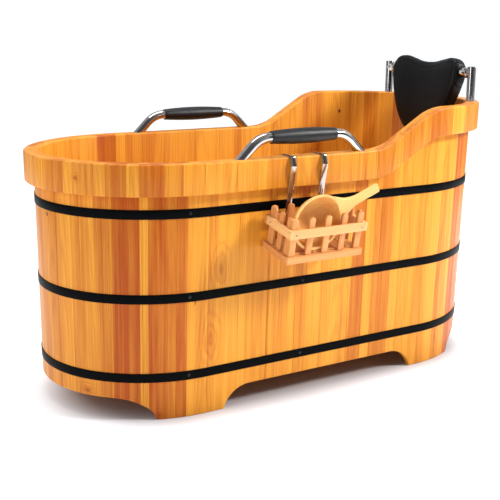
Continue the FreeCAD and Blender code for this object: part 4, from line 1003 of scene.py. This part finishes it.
def cushion_shape():
    """Closed pad. Each section across the width is an oval that is fuller than an ellipse: with t
    running round it, depth = half thickness * sign(cos t) |cos t|^fullness and height the same
    with sin t, narrowed towards the hem. The sections follow the table, and the last ones close
    as a low dome on each side. Four seams run across the width, and one round each side panel:
    there the surface sinks along its normal by a depth that falls off as a bell curve."""
    panel = np.linspace(0.968, 1, 9)
    flat = np.concatenate([np.linspace(-1, 1, 61), panel, -panel, np.linspace(-0.02, 0.02, 9)])
    flat = np.unique(flat.round(6))
    dome = np.linspace(0, pi / 2, 11)[1:]
    place = np.concatenate([-np.ones(10), flat, np.ones(10)])
    shrink = np.concatenate([np.cos(dome)[::-1], np.ones(len(flat)), np.cos(dome)])
    bulge = np.concatenate([-np.sin(dome)[::-1], np.zeros(len(flat)), np.sin(dome)]) * CUSHION_DOME
    across = np.abs(place)
    top = smooth_table(CUSHION_SHARES[:, 0], CUSHION_SHARES[:, 1], across) * CUSHION_RISE
    low = -smooth_table(CUSHION_SHARES[:, 0], CUSHION_SHARES[:, 2], across) * CUSHION_FALL
    thick = smooth_table(CUSHION_SHARES[:, 0], CUSHION_SHARES[:, 3], across) * CUSHION_THICKNESS / 2
    near_seams = (CUSHION_SEAMS[:, None] + np.linspace(-SEAM_REACH, SEAM_REACH, 11)).ravel()
    even = np.linspace(0, 2 * pi, 96, endpoint=False)
    turn = np.unique(np.concatenate([even, near_seams]).round(6))[None, :]
    depth = np.sign(np.cos(turn)) * np.abs(np.cos(turn)) ** CUSHION_FULLNESS
    rise = np.sign(np.sin(turn)) * np.abs(np.sin(turn)) ** CUSHION_FULLNESS
    waist = ((top + low) / 2)[:, None]
    half = ((top - low) / 2)[:, None]
    hem = 1 - HEM_NARROWING * (0.5 - rise / 2) * (-low / CUSHION_FALL)[:, None]
    x = -depth * thick[:, None] * shrink[:, None] * hem
    z = waist + rise * half * shrink[:, None]
    y = np.broadcast_to((place * (CUSHION_WIDTH / 2 - CUSHION_DOME) + bulge)[:, None], x.shape)
    points = np.stack([x, y, z], axis=-1)
    around = np.roll(points, -1, axis=1) - np.roll(points, 1, axis=1)
    normal = np.cross(np.gradient(points, axis=0), around)
    normal /= np.maximum(np.linalg.norm(normal, axis=2, keepdims=True), 1e-12)
    normal *= np.sign((normal * (points - points.mean(axis=(0, 1)))).sum(axis=2).mean())
    sunk = np.exp(-(((turn[:, :, None] - CUSHION_SEAMS) / SEAM_BELL) ** 2)).sum(axis=2)
    sunk = sunk * (shrink[:, None] > 0.9)
    side = np.exp(-(((across - PANEL_SEAM) / PANEL_BELL) ** 2)) * (shrink == 1)
    points = points - normal * SEAM_SINK * np.maximum(sunk, side[:, None])[..., None]
    x, z = points[..., 0].copy(), points[..., 2].copy()
    points[..., 0] = x * cos(CUSHION_LEAN) + z * sin(CUSHION_LEAN)
    points[..., 2] = z * cos(CUSHION_LEAN) - x * sin(CUSHION_LEAN)
    return (points + np.array(PIVOT)).reshape(-1, 3), tube_faces(points.shape[0], points.shape[1])


cushion = make_piece(
    "head_cushion_pad", [cushion_shape()], "headrest", ("head_cushion",), sharp=60
)
put_on(cushion, cover)
put_on(nodes["cushion_sleeve"], dark_plastic)


# Basket: boards with rounded edges in the basket's own leaning frame

REST_GAP = 0.0003
BASKET_MIDDLE = -0.087
BASKET_REST = 0.449
BASKET_WIDTH = 0.246
BASKET_DEPTH = 0.125
HOOK_THICKNESS = 0.002
base_half = BASKET_WIDTH / 2

hang_y = -(HALF_WIDTH - TAPER * BAND_HEIGHT + BAND_THICKNESS) - REST_GAP
rest_y = -(HALF_WIDTH - TAPER * (RIM_LOW - BASKET_REST)) - REST_GAP
drop_y, drop_z = hang_y - rest_y, RIM_LOW - BAND_HEIGHT - BASKET_REST
BASKET_LEAN = np.arctan2(-drop_y, drop_z) + np.arcsin(HOOK_THICKNESS / np.hypot(drop_y, drop_z))
BASKET_FRAME = (
    Matrix.Translation((BASKET_MIDDLE, rest_y, BASKET_REST))
    @ Matrix.Rotation(BASKET_LEAN, 4, "X")
    @ Matrix.Translation((0, -BASKET_DEPTH, 0))
)
BASKET_TURN = np.array(BASKET_FRAME)[:3, :3]
BASKET_ORIGIN = np.array(BASKET_FRAME)[:3, 3]
BOARD_EDGE = 0.0012
board_draw = np.random.default_rng(23)


def in_basket(points):
    """Points given in the basket's frame: across, in towards the wall, up."""
    return np.asarray(points) @ BASKET_TURN.T + BASKET_ORIGIN


def timber_shift():
    """Place of the next board of the basket in its timber."""
    return board_draw.uniform((-0.03, 0.02, 0), (0.03, 0.08, 3))


def basket_board(node, low, high, along, material, tone=(0.1, 0.6), edge=BOARD_EDGE):
    """Board from its low and high corners, with the fibres along one direction. Its edges are
    rounded by a bevel, and it gets its own place in the timber and its own tone."""
    order = [axis for axis in (0, 1, 2) if axis != along] + [along]
    ends = (low, high)
    corners = np.array([
        [ends[pick][axis] for axis, pick in enumerate(picks)] for picks in np.ndindex(2, 2, 2)
    ])
    faces = [[0, 1, 3, 2], [4, 6, 7, 5], [0, 4, 5, 1], [2, 3, 7, 6], [0, 2, 6, 4], [1, 5, 7, 3]]
    shape = (in_basket(corners), faces)
    piece = make_piece(f"{node}_board", [shape], "basket", (node,), weld=False)
    point_values(piece.data, "timber", corners[:, order] + timber_shift())
    face_tones(piece.data, [board_draw.uniform(*tone)] * len(faces))
    rounding = piece.modifiers.new("edges", "BEVEL")
    rounding.width = edge
    rounding.segments = 3
    rounding.limit_method = "ANGLE"
    rounding.harden_normals = True
    put_on(piece, material)


RAIL = 0.020
BASE_HEIGHT = 0.019
PICKET_INSET = 0.007
TOP_RAIL = 0.010
RAIL_EDGE = 0.0018
SLAT_EDGE = 0.0008
TOP_LEVEL, TOP_HEIGHT = 0.072, 0.024
PICKET_WIDTH, PICKET_THICKNESS, PICKET_LENGTH, PICKET_CROWN = 0.019, 0.007, 0.106, 0.004
SHOULDER_WIDTH, SHOULDER_FALL = 0.0025, 0.0022
FRONT_PICKETS, SIDE_PICKETS = 5, 3
picket_reach = base_half - PICKET_INSET
rail_half = picket_reach + TOP_RAIL
rail_front = PICKET_INSET - TOP_RAIL
back_face = BASKET_DEPTH - TOP_RAIL
rail_top = TOP_LEVEL + TOP_HEIGHT

for node, low, high, along in (
    ("basket_base_front", (-base_half, 0, 0), (base_half, RAIL, BASE_HEIGHT), 0),
    ("basket_base_back", (-base_half, BASKET_DEPTH - RAIL, 0), (base_half, BASKET_DEPTH, BASE_HEIGHT), 0),
    ("basket_base_left", (-base_half, RAIL, 0), (RAIL - base_half, BASKET_DEPTH - RAIL, BASE_HEIGHT), 1),
    ("basket_base_right", (base_half - RAIL, RAIL, 0), (base_half, BASKET_DEPTH - RAIL, BASE_HEIGHT), 1),
    ("basket_rail_back", (-rail_half, back_face, TOP_LEVEL), (rail_half, BASKET_DEPTH, rail_top), 0),
):
    basket_board(node, low, high, along, basket_wood)
for node, low, high, along in (
    ("basket_rail_front", (-picket_reach, rail_front, TOP_LEVEL), (picket_reach, PICKET_INSET, rail_top), 0),
    ("basket_rail_left", (-rail_half, rail_front, TOP_LEVEL), (-picket_reach, back_face, rail_top), 1),
    ("basket_rail_right", (picket_reach, rail_front, TOP_LEVEL), (rail_half, back_face, rail_top), 1),
):
    basket_board(node, low, high, along, pale_wood, tone=(0.1, 0.4), edge=RAIL_EDGE)
slat_low = PICKET_INSET + PICKET_THICKNESS + REST_GAP
slat_high = back_face - PICKET_THICKNESS - REST_GAP
slat_room = picket_reach - PICKET_THICKNESS - REST_GAP
SLAT_WIDTH, SLAT_THICKNESS, SLATS = 0.031, 0.006, 6
for index, x in enumerate(np.linspace(SLAT_WIDTH / 2 - slat_room, slat_room - SLAT_WIDTH / 2, SLATS)):
    low = (x - SLAT_WIDTH / 2, slat_low, BASE_HEIGHT)
    high = (x + SLAT_WIDTH / 2, slat_high, BASE_HEIGHT + SLAT_THICKNESS)
    basket_board(f"basket_slat_{index + 1}", low, high, 1, basket_wood, edge=SLAT_EDGE)


def picket_shape(middle, facing):
    """Upright picket. Its top is an arc over the crown's rise with both shoulders rounded off, and
    every rim of the front and back is rounded by drawing the outermost layers in."""
    half = PICKET_WIDTH / 2
    radius = (half**2 + PICKET_CROWN**2) / (2 * PICKET_CROWN)
    across = half * np.cos(np.linspace(0, pi, 11))
    crown = PICKET_LENGTH - radius + np.sqrt(radius**2 - across**2)
    corner = np.minimum(1.0, (half - np.abs(across)) / SHOULDER_WIDTH)
    crown = crown - SHOULDER_FALL * (1 - np.sqrt(1 - (1 - corner) ** 2))
    face = np.concatenate([[[-half, 0.0], [half, 0.0]], np.stack([across, crown], axis=-1)])
    centre = np.array([0.0, PICKET_LENGTH / 2])
    turn = np.linspace(0, pi / 2, 4)
    layers, depths = BOARD_EDGE * (1 - np.sin(turn)), BOARD_EDGE * (1 - np.cos(turn))
    layers = np.concatenate([layers, layers[::-1]])
    depths = np.concatenate([depths, PICKET_THICKNESS - depths[::-1]])
    span = np.abs(face - centre).max(axis=0)
    rings = centre + (face - centre)[None] * (1 - layers[:, None, None] / span[None, None])
    deep = np.broadcast_to(depths[:, None], rings.shape[:2])
    local = np.stack([rings[..., 0], deep, rings[..., 1]], axis=-1).reshape(-1, 3)
    turned = local if facing == "along" else local[:, [1, 0, 2]] * (-1, 1, 1)
    return in_basket(turned + np.array(middle)), tube_faces(len(layers), len(face)), local


def picket_row(name, middles, facing):
    """Row of pickets as one piece, each cut from its own place in the timber."""
    shapes = [picket_shape(middle, facing) for middle in middles]
    solids = [(points, faces) for points, faces, local in shapes]
    piece = make_piece(f"{name}_row", solids, "basket", (name,), weld=False)
    timber = [local + timber_shift() for points, faces, local in shapes]
    point_values(piece.data, "timber", np.concatenate(timber))
    face_tones(piece.data, np.repeat(board_draw.uniform(0.0, 0.5, len(shapes)), len(shapes[0][1])))
    put_on(piece, basket_wood)


end_picket = picket_reach - PICKET_WIDTH / 2
across_places = np.linspace(-end_picket, end_picket, FRONT_PICKETS)
side_low = PICKET_INSET + PICKET_THICKNESS + REST_GAP + PICKET_WIDTH / 2
side_high = back_face - PICKET_THICKNESS - REST_GAP - PICKET_WIDTH / 2
side_places = np.linspace(side_low, side_high, SIDE_PICKETS)
back_place = back_face - PICKET_THICKNESS
picket_row("pickets_front", [(x, PICKET_INSET, BASE_HEIGHT) for x in across_places], "along")
picket_row("pickets_back", [(x, back_place, BASE_HEIGHT) for x in across_places], "along")
picket_row("pickets_left", [(PICKET_THICKNESS - picket_reach, y, BASE_HEIGHT) for y in side_places], "across")
picket_row("pickets_right", [(picket_reach, y, BASE_HEIGHT) for y in side_places], "across")

HOOK_SPACING = 0.103
HOOK_WIDTH = 0.017
HOOK_RADIUS = 0.004
HOOK_FOLD = 0.024
HOOK_CLEARANCE = 0.002
HOOK_TAIL = 0.008
HOOK_EDGE = 0.0006
PIN_HEAD, PIN_RISE = 0.0055, 0.0013
pin_level = TOP_LEVEL + TOP_HEIGHT / 2
pins = []
for side in (-1, 1):
    for place, ahead in (
        ((side * end_picket, rail_front, pin_level), (0, -1, 0)),
        ((side * rail_half, back_face - PICKET_WIDTH, pin_level), (side, 0, 0)),
        ((side * HOOK_SPACING / 2, BASKET_DEPTH + HOOK_THICKNESS, pin_level), (0, 1, 0)),
    ):
        pins.append(screw_shape(in_basket(place), BASKET_TURN @ np.array(ahead), PIN_HEAD, PIN_RISE))
pin_heads = make_piece("basket_screw_heads", pins, "basket", ("basket_screws",))
put_on(pin_heads, pin_steel)


def bent_line(corners, radius, steps=9):
    """Points along straight runs whose inner corners are rounded. An arc of the radius touches
    both runs at radius * tan(half the turn) from the corner, and each of its points is its
    centre + radius * (cos a towards the corner, sin a along the turn)."""
    runs = [np.array(corners[:1])]
    for before, corner, after in zip(corners, corners[1:], corners[2:]):
        arrive = (corner - before) / np.linalg.norm(corner - before)
        leave = (after - corner) / np.linalg.norm(after - corner)
        half_turn = np.arccos(np.clip(arrive @ leave, -1, 1)) / 2
        outward = (arrive - leave) / np.linalg.norm(arrive - leave)
        along = (arrive + leave) / np.linalg.norm(arrive + leave)
        centre = corner - outward * radius / cos(half_turn)
        angle = np.linspace(-half_turn, half_turn, steps)[:, None]
        bend = centre + radius * (np.cos(angle) * outward + np.sin(angle) * along)
        start = runs[-1][-1]
        runs += [start + np.linspace(0.2, 0.96, 5)[:, None] * (bend[0] - start), bend]
    start, last = runs[-1][-1], np.asarray(corners[-1])
    return np.concatenate(runs + [start + np.linspace(0.04, 1, 6)[:, None] * (last - start)])


def hook_line(x):
    """Middle line of a hook: up along the basket's back, in to the rim's outer edge, and level
    over the rim to the staves' inner edge."""
    half = HOOK_THICKNESS / 2
    strap = BASKET_TURN @ np.array([0, 0, 1.0])
    foot = in_basket((0, BASKET_DEPTH + half, TOP_LEVEL - HOOK_TAIL))
    level = RIM_LOW + REST_GAP + half
    fold = foot + strap * ((RIM_LOW - HOOK_FOLD - foot[2]) / strap[2])
    edge = np.array([foot[0], -HALF_WIDTH - BAND_THICKNESS - HOOK_CLEARANCE, level])
    inner = np.array([foot[0], STAVE_THICKNESS - HALF_WIDTH, level])
    return bent_line([foot, fold, edge, inner], HOOK_RADIUS) + np.array([BASKET_MIDDLE + x - foot[0], 0, 0])


strap_corner = (HOOK_WIDTH / 2, HOOK_THICKNESS / 2)
strap = round_box((-strap_corner[0], -strap_corner[1]), strap_corner, (HOOK_EDGE,) * 4)
for side, x in (("left", -HOOK_SPACING / 2), ("right", HOOK_SPACING / 2)):
    bent = sweep(hook_line(x), strap, (1, 0, 0))
    hook = make_piece(f"basket_{side}_hook_strap", [bent], "basket", (f"basket_hook_{side}",))
    put_on(hook, hook_chrome)


# Ladle: a turned bowl with its handle grown out of the rim, joined and smoothed as one piece

LADLE_RADIUS = 0.080
LADLE_DEPTH = 0.052
LADLE_WALL = 0.005
LADLE_LIP = 0.008
LADLE_PLACE = (
    -0.029,
    PICKET_INSET + PICKET_THICKNESS + REST_GAP,
    BASE_HEIGHT + SLAT_THICKNESS + REST_GAP + LADLE_RADIUS,
)
LADLE_REACH = 0.205
LADLE_ANGLE = radians(23.5)
LADLE_HANDLE_WIDTH = 0.025
LADLE_HANDLE_THICKNESS = 0.014
LADLE_HANDLE_EDGE = 0.004
NECK_HALF = 0.044
NECK_LENGTH = 0.062
NECK_POWER = 2.2
ROOT = LADLE_RADIUS * 0.86
UNION_VOXEL = 0.0014
UNION_ROUNDS = 6
HOLLOW_START = 0.0012
LADLE_TONE = 0.12
# Tone of the bowl's hollow, darker than the lip and the outside and deepest towards the hollow's rim: painted
# shade in the recess
HOLLOW_SHADE_TONE, HOLLOW_SHADE_DEEPENING = 0.35, 0.55


def bowl_profile():
    """Section of the bowl as radius and depth: two arcs about centres on its axis. The inner one
    starts a lip's width inside the outer one and ends a wall's thickness above it."""
    ball = (LADLE_RADIUS**2 + LADLE_DEPTH**2) / (2 * LADLE_DEPTH)
    centre = LADLE_DEPTH - ball
    rim = np.arccos(-centre / ball)
    turn = np.linspace(0, rim, 25)
    outer = np.stack([ball * np.sin(turn), centre + ball * np.cos(turn)], axis=-1)
    hollow_radius, hollow_depth = LADLE_RADIUS - LADLE_LIP, LADLE_DEPTH - LADLE_WALL
    inner_ball = (hollow_radius**2 + hollow_depth**2) / (2 * hollow_depth)
    centre = hollow_depth - inner_ball
    turn = np.linspace(np.arccos(-centre / inner_ball), 0, 25)
    inner = np.stack([inner_ball * np.sin(turn), centre + inner_ball * np.cos(turn)], axis=-1)
    return np.concatenate([outer, inner])


def handle_blade():
    """Closed bar from the root inside the bowl's wall to the tip. Half its width falls from the
    neck's to the handle's as a power of what is left of the neck, and each section is a box with
    round corners."""
    along = np.concatenate([
        np.linspace(ROOT, LADLE_RADIUS + NECK_LENGTH, 24),
        np.linspace(LADLE_RADIUS + NECK_LENGTH, LADLE_REACH, 16)[1:],
    ])
    share = np.clip((along - ROOT) / (NECK_LENGTH + LADLE_RADIUS - ROOT), 0, 1)
    ease = (1 - share) ** NECK_POWER
    half = LADLE_HANDLE_WIDTH / 2 + (NECK_HALF - LADLE_HANDLE_WIDTH / 2) * ease
    rings = []
    for place, reach in zip(along, half):
        section = round_box((-reach, 0.0), (reach, LADLE_HANDLE_THICKNESS), (LADLE_HANDLE_EDGE,) * 4)
        rings.append(np.column_stack([np.full(len(section), place), section[:, 1], section[:, 0]]))
    rings = np.stack(rings)
    return rings.reshape(-1, 3), tube_faces(len(along), rings.shape[1])


def in_ladle(points):
    """Points of the ladle, handle along X and bowl opening towards -Y, put in the basket."""
    turn = np.array(Matrix.Rotation(-LADLE_ANGLE, 3, "Y"))
    return in_basket(np.asarray(points) @ turn.T + np.array(LADLE_PLACE))


def smooth_union(shapes, voxel, rounds):
    """Points and faces of several closed shapes joined by a voxel remesh and then smoothed."""
    carrier = new_object("union", closed_mesh("union", *join(shapes)))
    remesh = carrier.modifiers.new("remesh", "REMESH")
    remesh.mode = "VOXEL"
    remesh.voxel_size = voxel
    soften = carrier.modifiers.new("soften", "SMOOTH")
    soften.iterations = rounds
    soften.factor = 0.5
    bpy.context.view_layer.update()
    made = bpy.data.meshes.new_from_object(carrier.evaluated_get(bpy.context.evaluated_depsgraph_get()))
    united = points_of(made)
    faces = [list(face.vertices) for face in made.polygons]
    bpy.data.objects.remove(carrier)
    return united, faces


bowl = lathe(bowl_profile(), (0, 0, 0), (0, 1, 0), 96)
ladle_points, ladle_faces = smooth_union([bowl, handle_blade()], UNION_VOXEL, UNION_ROUNDS)
carved = (in_ladle(ladle_points), ladle_faces)
ladle = make_piece("ladle_carved", [carved], "ladle", ("ladle",), sharp=70, weld=False)
point_values(ladle.data, "timber", ladle_points[:, [1, 2, 0]] + (0.05, 0.02, 1.0))
face_middles = np.array([np.mean(ladle_points[corners], axis=0) for corners in ladle_faces])
from_axis = np.hypot(face_middles[:, 0], face_middles[:, 2])
in_hollow = (from_axis < LADLE_RADIUS - LADLE_LIP) & (face_middles[:, 1] > HOLLOW_START)
# Faces inside the hollow are painted darker, more so towards its rim: painted shade in the bowl's recess. The
# lip and the outside keep the ladle's own tone.
hollow_painted_shade = HOLLOW_SHADE_TONE + HOLLOW_SHADE_DEEPENING * np.clip(from_axis / LADLE_RADIUS, 0, 1)
face_tones(ladle.data, np.where(in_hollow, hollow_painted_shade, LADLE_TONE))
put_on(ladle, ladle_wood)


# Drain, floor boards and battens

drain_low, drain_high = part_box("drain_flange")
DRAIN = (drain_low + drain_high) / 2 - MIDDLE
flange_radius = (drain_high.x - drain_low.x) / 2
DRAIN_BORE = 0.017
FLANGE_EDGE = 0.0014
DRAIN_SIDES = 64
PLUG_PLAY = 0.0001
PLUG_LEAD = (0.0012, 0.002)
PLUG_HEAD = (0.0003, 0.0053)
PLUG_EDGE = 0.0016
STEM_FOOT, STEM_RADIUS = 0.006, 0.0035
KNOB_CORE, KNOB_EDGE = 0.0045, 0.0025
flange_level = drain_high.z - FLANGE_EDGE
flange_profile = np.concatenate([
    [[DRAIN_BORE, drain_low.z]],
    [[flange_radius, drain_low.z]],
    quarter((flange_radius - FLANGE_EDGE, flange_level), FLANGE_EDGE, 0),
    quarter((DRAIN_BORE + FLANGE_EDGE, flange_level), FLANGE_EDGE, 90),
])
flange_ring = lathe(flange_profile, (DRAIN.x, DRAIN.y, 0), (0, 0, 1), DRAIN_SIDES)
flange = make_piece("drain_flange_ring", [flange_ring], "tub", ("drain_flange",))
put_on(flange, chrome)
plug_low, plug_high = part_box("drain_plug")
head_radius = (plug_high.x - plug_low.x) / 2
head_base, head_top = drain_high.z + PLUG_HEAD[0], drain_high.z + PLUG_HEAD[1]
stopper = DRAIN_BORE - PLUG_PLAY
plug_profile = np.concatenate([
    [[0.0, plug_low.z], [DRAIN_BORE - PLUG_LEAD[0], plug_low.z], [stopper, plug_low.z + PLUG_LEAD[1]]],
    [[stopper, head_base], [head_radius, head_base]],
    quarter((head_radius - PLUG_EDGE, head_top - PLUG_EDGE), PLUG_EDGE, 0),
    [[STEM_FOOT, head_top + 0.0006], [STEM_RADIUS, head_top + 0.003], [STEM_RADIUS, head_top + 0.0055]],
    quarter((KNOB_CORE, plug_high.z - KNOB_EDGE), KNOB_EDGE, 0),
    [[0.0, plug_high.z]],
])
turned = lathe(plug_profile, (DRAIN.x, DRAIN.y, 0), (0, 0, 1), DRAIN_SIDES)
plug = make_piece("drain_plug_turned", [turned], "plug", ("drain_plug",))
put_on(plug, plug_rubber)
put_on(nodes["drain_body"], chrome)
put_on(nodes["drain_lock_nut"], hook_chrome)
put_on(nodes["drain_seal"], seal_rubber)
for index, board_wood in enumerate(floor_woods):
    put_on(nodes[f"floor_board_{index + 1}"], board_wood)
for name in ("floor_batten_foot", "floor_batten_head"):
    put_on(nodes[name], floor_woods[0])


# Floor, light and camera

FLOOR_HALF = 60
FLOOR_WHITE = (0.84, 0.88, 0.93, 1.0)
# Painted shadow: the floor's colour under the tub
FLOOR_PAINTED_SHADOW = (0.44, 0.41, 0.41, 1.0)
FLOOR_GLOW = 0.42
SHADE_HALF = 0.40
SHADE_NEAR, SHADE_FAR = 0.20, 0.365


def studio_material(name, paint, rough):
    """Even studio surface with a slight change in gloss."""
    material, tree, shader = new_material(name)
    place = add(tree, "ShaderNodeTexCoord").outputs["Object"]
    marks = effect(tree, HANDLING, Place=place, Smudge_Size=0.8, Scratch_Size=0.05)
    tree.links.new(sums(tree, "MULTIPLY_ADD", marks["Smudges"], 0.05, rough), shader.inputs["Roughness"])
    shader.inputs["Base Color"].default_value = paint
    shader.inputs["Specular IOR Level"].default_value = 0.2
    return material, tree, shader, place


def floor_material():
    """White floor with a painted shadow: within the tub's outline its colour is darker. Outside it
    goes over to white and to a faint glow, painted light left off under the tub, so the painted
    shadow is deep under the tub and fades quickly beside it. The distance is counted from a line
    along the tub's middle: sqrt(max(|x| - half, 0)^2 + y^2)."""
    material, tree, shader, place = studio_material("studio_floor_white", FLOOR_WHITE, 0.75)
    parts = add(tree, "ShaderNodeSeparateXYZ", {0: place}).outputs
    past = sums(tree, "MAXIMUM", sums(tree, "SUBTRACT", sums(tree, "ABSOLUTE", parts[0]), SHADE_HALF), 0.0)
    wide = sums(tree, "MULTIPLY", parts[1], parts[1])
    reach = sums(tree, "SQRT", sums(tree, "MULTIPLY_ADD", past, past, wide))
    span = {0: reach, 1: SHADE_NEAR, 2: SHADE_FAR}
    outside = add(tree, "ShaderNodeMapRange", span, interpolation_type="SMOOTHSTEP").outputs[0]
    # Painted shadow: the floor's colour is darker within the tub's outline
    tree.links.new(mix(tree, outside, FLOOR_PAINTED_SHADOW, FLOOR_WHITE), shader.inputs["Base Color"])
    shader.inputs["Emission Color"].default_value = (1, 1, 1, 1)
    # Painted light: the floor glows outside the tub's outline and not under it
    tree.links.new(sums(tree, "MULTIPLY", outside, FLOOR_GLOW), shader.inputs["Emission Strength"])
    return material


def stage_mesh(name, quads, material):
    """Quads that aren't part of the tub, four corners after each other for each."""
    mesh = bpy.data.meshes.new(name)
    mesh.from_pydata(quads, [], [tuple(range(first, first + 4)) for first in range(0, len(quads), 4)])
    made = new_object(name, mesh)
    put_on(made, material)
    return made


half = FLOOR_HALF
floor_corners = [(-half, -half, 0), (half, -half, 0), (half, half, 0), (-half, half, 0)]
stage_mesh("studio_floor", floor_corners, floor_material())

# Dark cards that only reflections see: upright ones in a ring, with start and width in degrees and
# their height, and long ones overhead, with start and width across. They give the polished tubes
# their dark streaks.
CARD_REACH = 3.4
CARD_FOOT = 0.02
CARD_BLACK = (0.03, 0.03, 0.035, 1.0)
UPRIGHT_CARDS = (
    (6, 26, 1.9), (46, 40, 1.9), (92, 20, 1.9), (126, 32, 1.9), (172, 18, 1.9),
    (203, 16, 1.9), (236, 24, 1.9), (276, 10, 1.9), (296, 20, 2.9), (330, 22, 1.9),
)
OVERHEAD_CARDS = ((-2.3, 0.5), (-1.1, 0.9), (0.9, 0.9), (2.3, 0.6))
OVERHEAD_HALF, OVERHEAD_LEVEL = 3.0, 2.9


def card_quads():
    """Corners of the dark cards. An upright card stands on the chord between its two angles."""
    quads = []
    for start, width, height in UPRIGHT_CARDS:
        turns = (radians(start), radians(start + width))
        first, last = [(CARD_REACH * cos(turn), CARD_REACH * sin(turn)) for turn in turns]
        quads += [(*first, CARD_FOOT), (*last, CARD_FOOT), (*last, height), (*first, height)]
    half, level = OVERHEAD_HALF, OVERHEAD_LEVEL
    for y, width in OVERHEAD_CARDS:
        quads += [(-half, y, level), (half, y, level), (half, y + width, level), (-half, y + width, level)]
    return quads


card_black = studio_material("studio_card_black", CARD_BLACK, 0.9)[0]
cards = stage_mesh("dark_cards", card_quads(), card_black)
cards.visible_camera = False
cards.visible_diffuse = False
cards.visible_shadow = False


def area_light(name, place, target, size, power):
    """Square soft light that looks at a point."""
    light = bpy.data.lights.new(name, "AREA")
    light.shape = "SQUARE"
    light.size = size
    light.energy = power
    lamp = new_object(name, light)
    lamp.location = Vector(place) + MIDDLE
    lamp.rotation_euler = (Vector(target) - Vector(place)).to_track_quat("-Z", "Y").to_euler()


area_light("key_from_the_right", (2.5, -2.3, 2.8), (0.1, 0, 0.4), 0.8, 172)
area_light("fill_from_the_left", (-3.4, -0.6, 1.6), (-0.3, 0, 0.4), 1.6, 32)
area_light("top_soft", (-0.2, 0.0, 3.4), (0, 0, 0.4), 2.0, 58)

# The air lights the tub from all round, less so from one side, and is plain white as a backdrop.
AIR_WHITE = (0.92, 0.92, 0.94, 1.0)
AIR_DIM = (0.10, 0.10, 0.11, 1.0)
BACKDROP_WHITE = (1.05, 1.05, 1.05, 1.0)
DIM_SIDE = (-0.55, -0.82, 0.1)

world = bpy.data.worlds.new("studio_air")
world.use_nodes = True
air = world.node_tree
air.nodes.clear()
ahead = add(air, "ShaderNodeTexCoord").outputs["Generated"]
facing = add(air, "ShaderNodeVectorMath", {0: ahead, 1: DIM_SIDE}, operation="DOT_PRODUCT")
dim_share = sums(air, "MULTIPLY_ADD", facing.outputs["Value"], 1.2, 0.05, clamp=True)
air_light = mix(air, dim_share, AIR_WHITE, AIR_DIM)
seen = add(air, "ShaderNodeLightPath").outputs["Is Camera Ray"]
air_seen = mix(air, seen, air_light, BACKDROP_WHITE)
backdrop = add(air, "ShaderNodeBackground", {"Color": air_seen, "Strength": 1.0})
add(air, "ShaderNodeOutputWorld", {"Surface": backdrop.outputs[0]})
bpy.context.scene.world = world
bpy.context.scene.view_settings.view_transform = "Standard"

CAMERA_PLACE = Vector((-1.5305, -2.3800, 1.0593))
CAMERA_YAW = radians(31.7145)
CAMERA_PITCH = radians(10.4811)
CAMERA_ROLL = radians(0.967)
FOCAL_PIXELS = 929.68
PICTURE_PIXELS = 500
MIDDLE_PIXEL_DOWN = 190

camera_data = bpy.data.cameras.new("camera")
camera_data.lens = FOCAL_PIXELS * camera_data.sensor_width / PICTURE_PIXELS
camera_data.shift_y = (MIDDLE_PIXEL_DOWN - PICTURE_PIXELS / 2) / PICTURE_PIXELS
camera = new_object("camera", camera_data)
camera.location = CAMERA_PLACE + MIDDLE
camera.rotation_euler = (
    Matrix.Rotation(-CAMERA_YAW, 3, "Z")
    @ Matrix.Rotation(pi / 2 - CAMERA_PITCH, 3, "X")
    @ Matrix.Rotation(CAMERA_ROLL, 3, "Z")
).to_euler()
bpy.context.scene.camera = camera
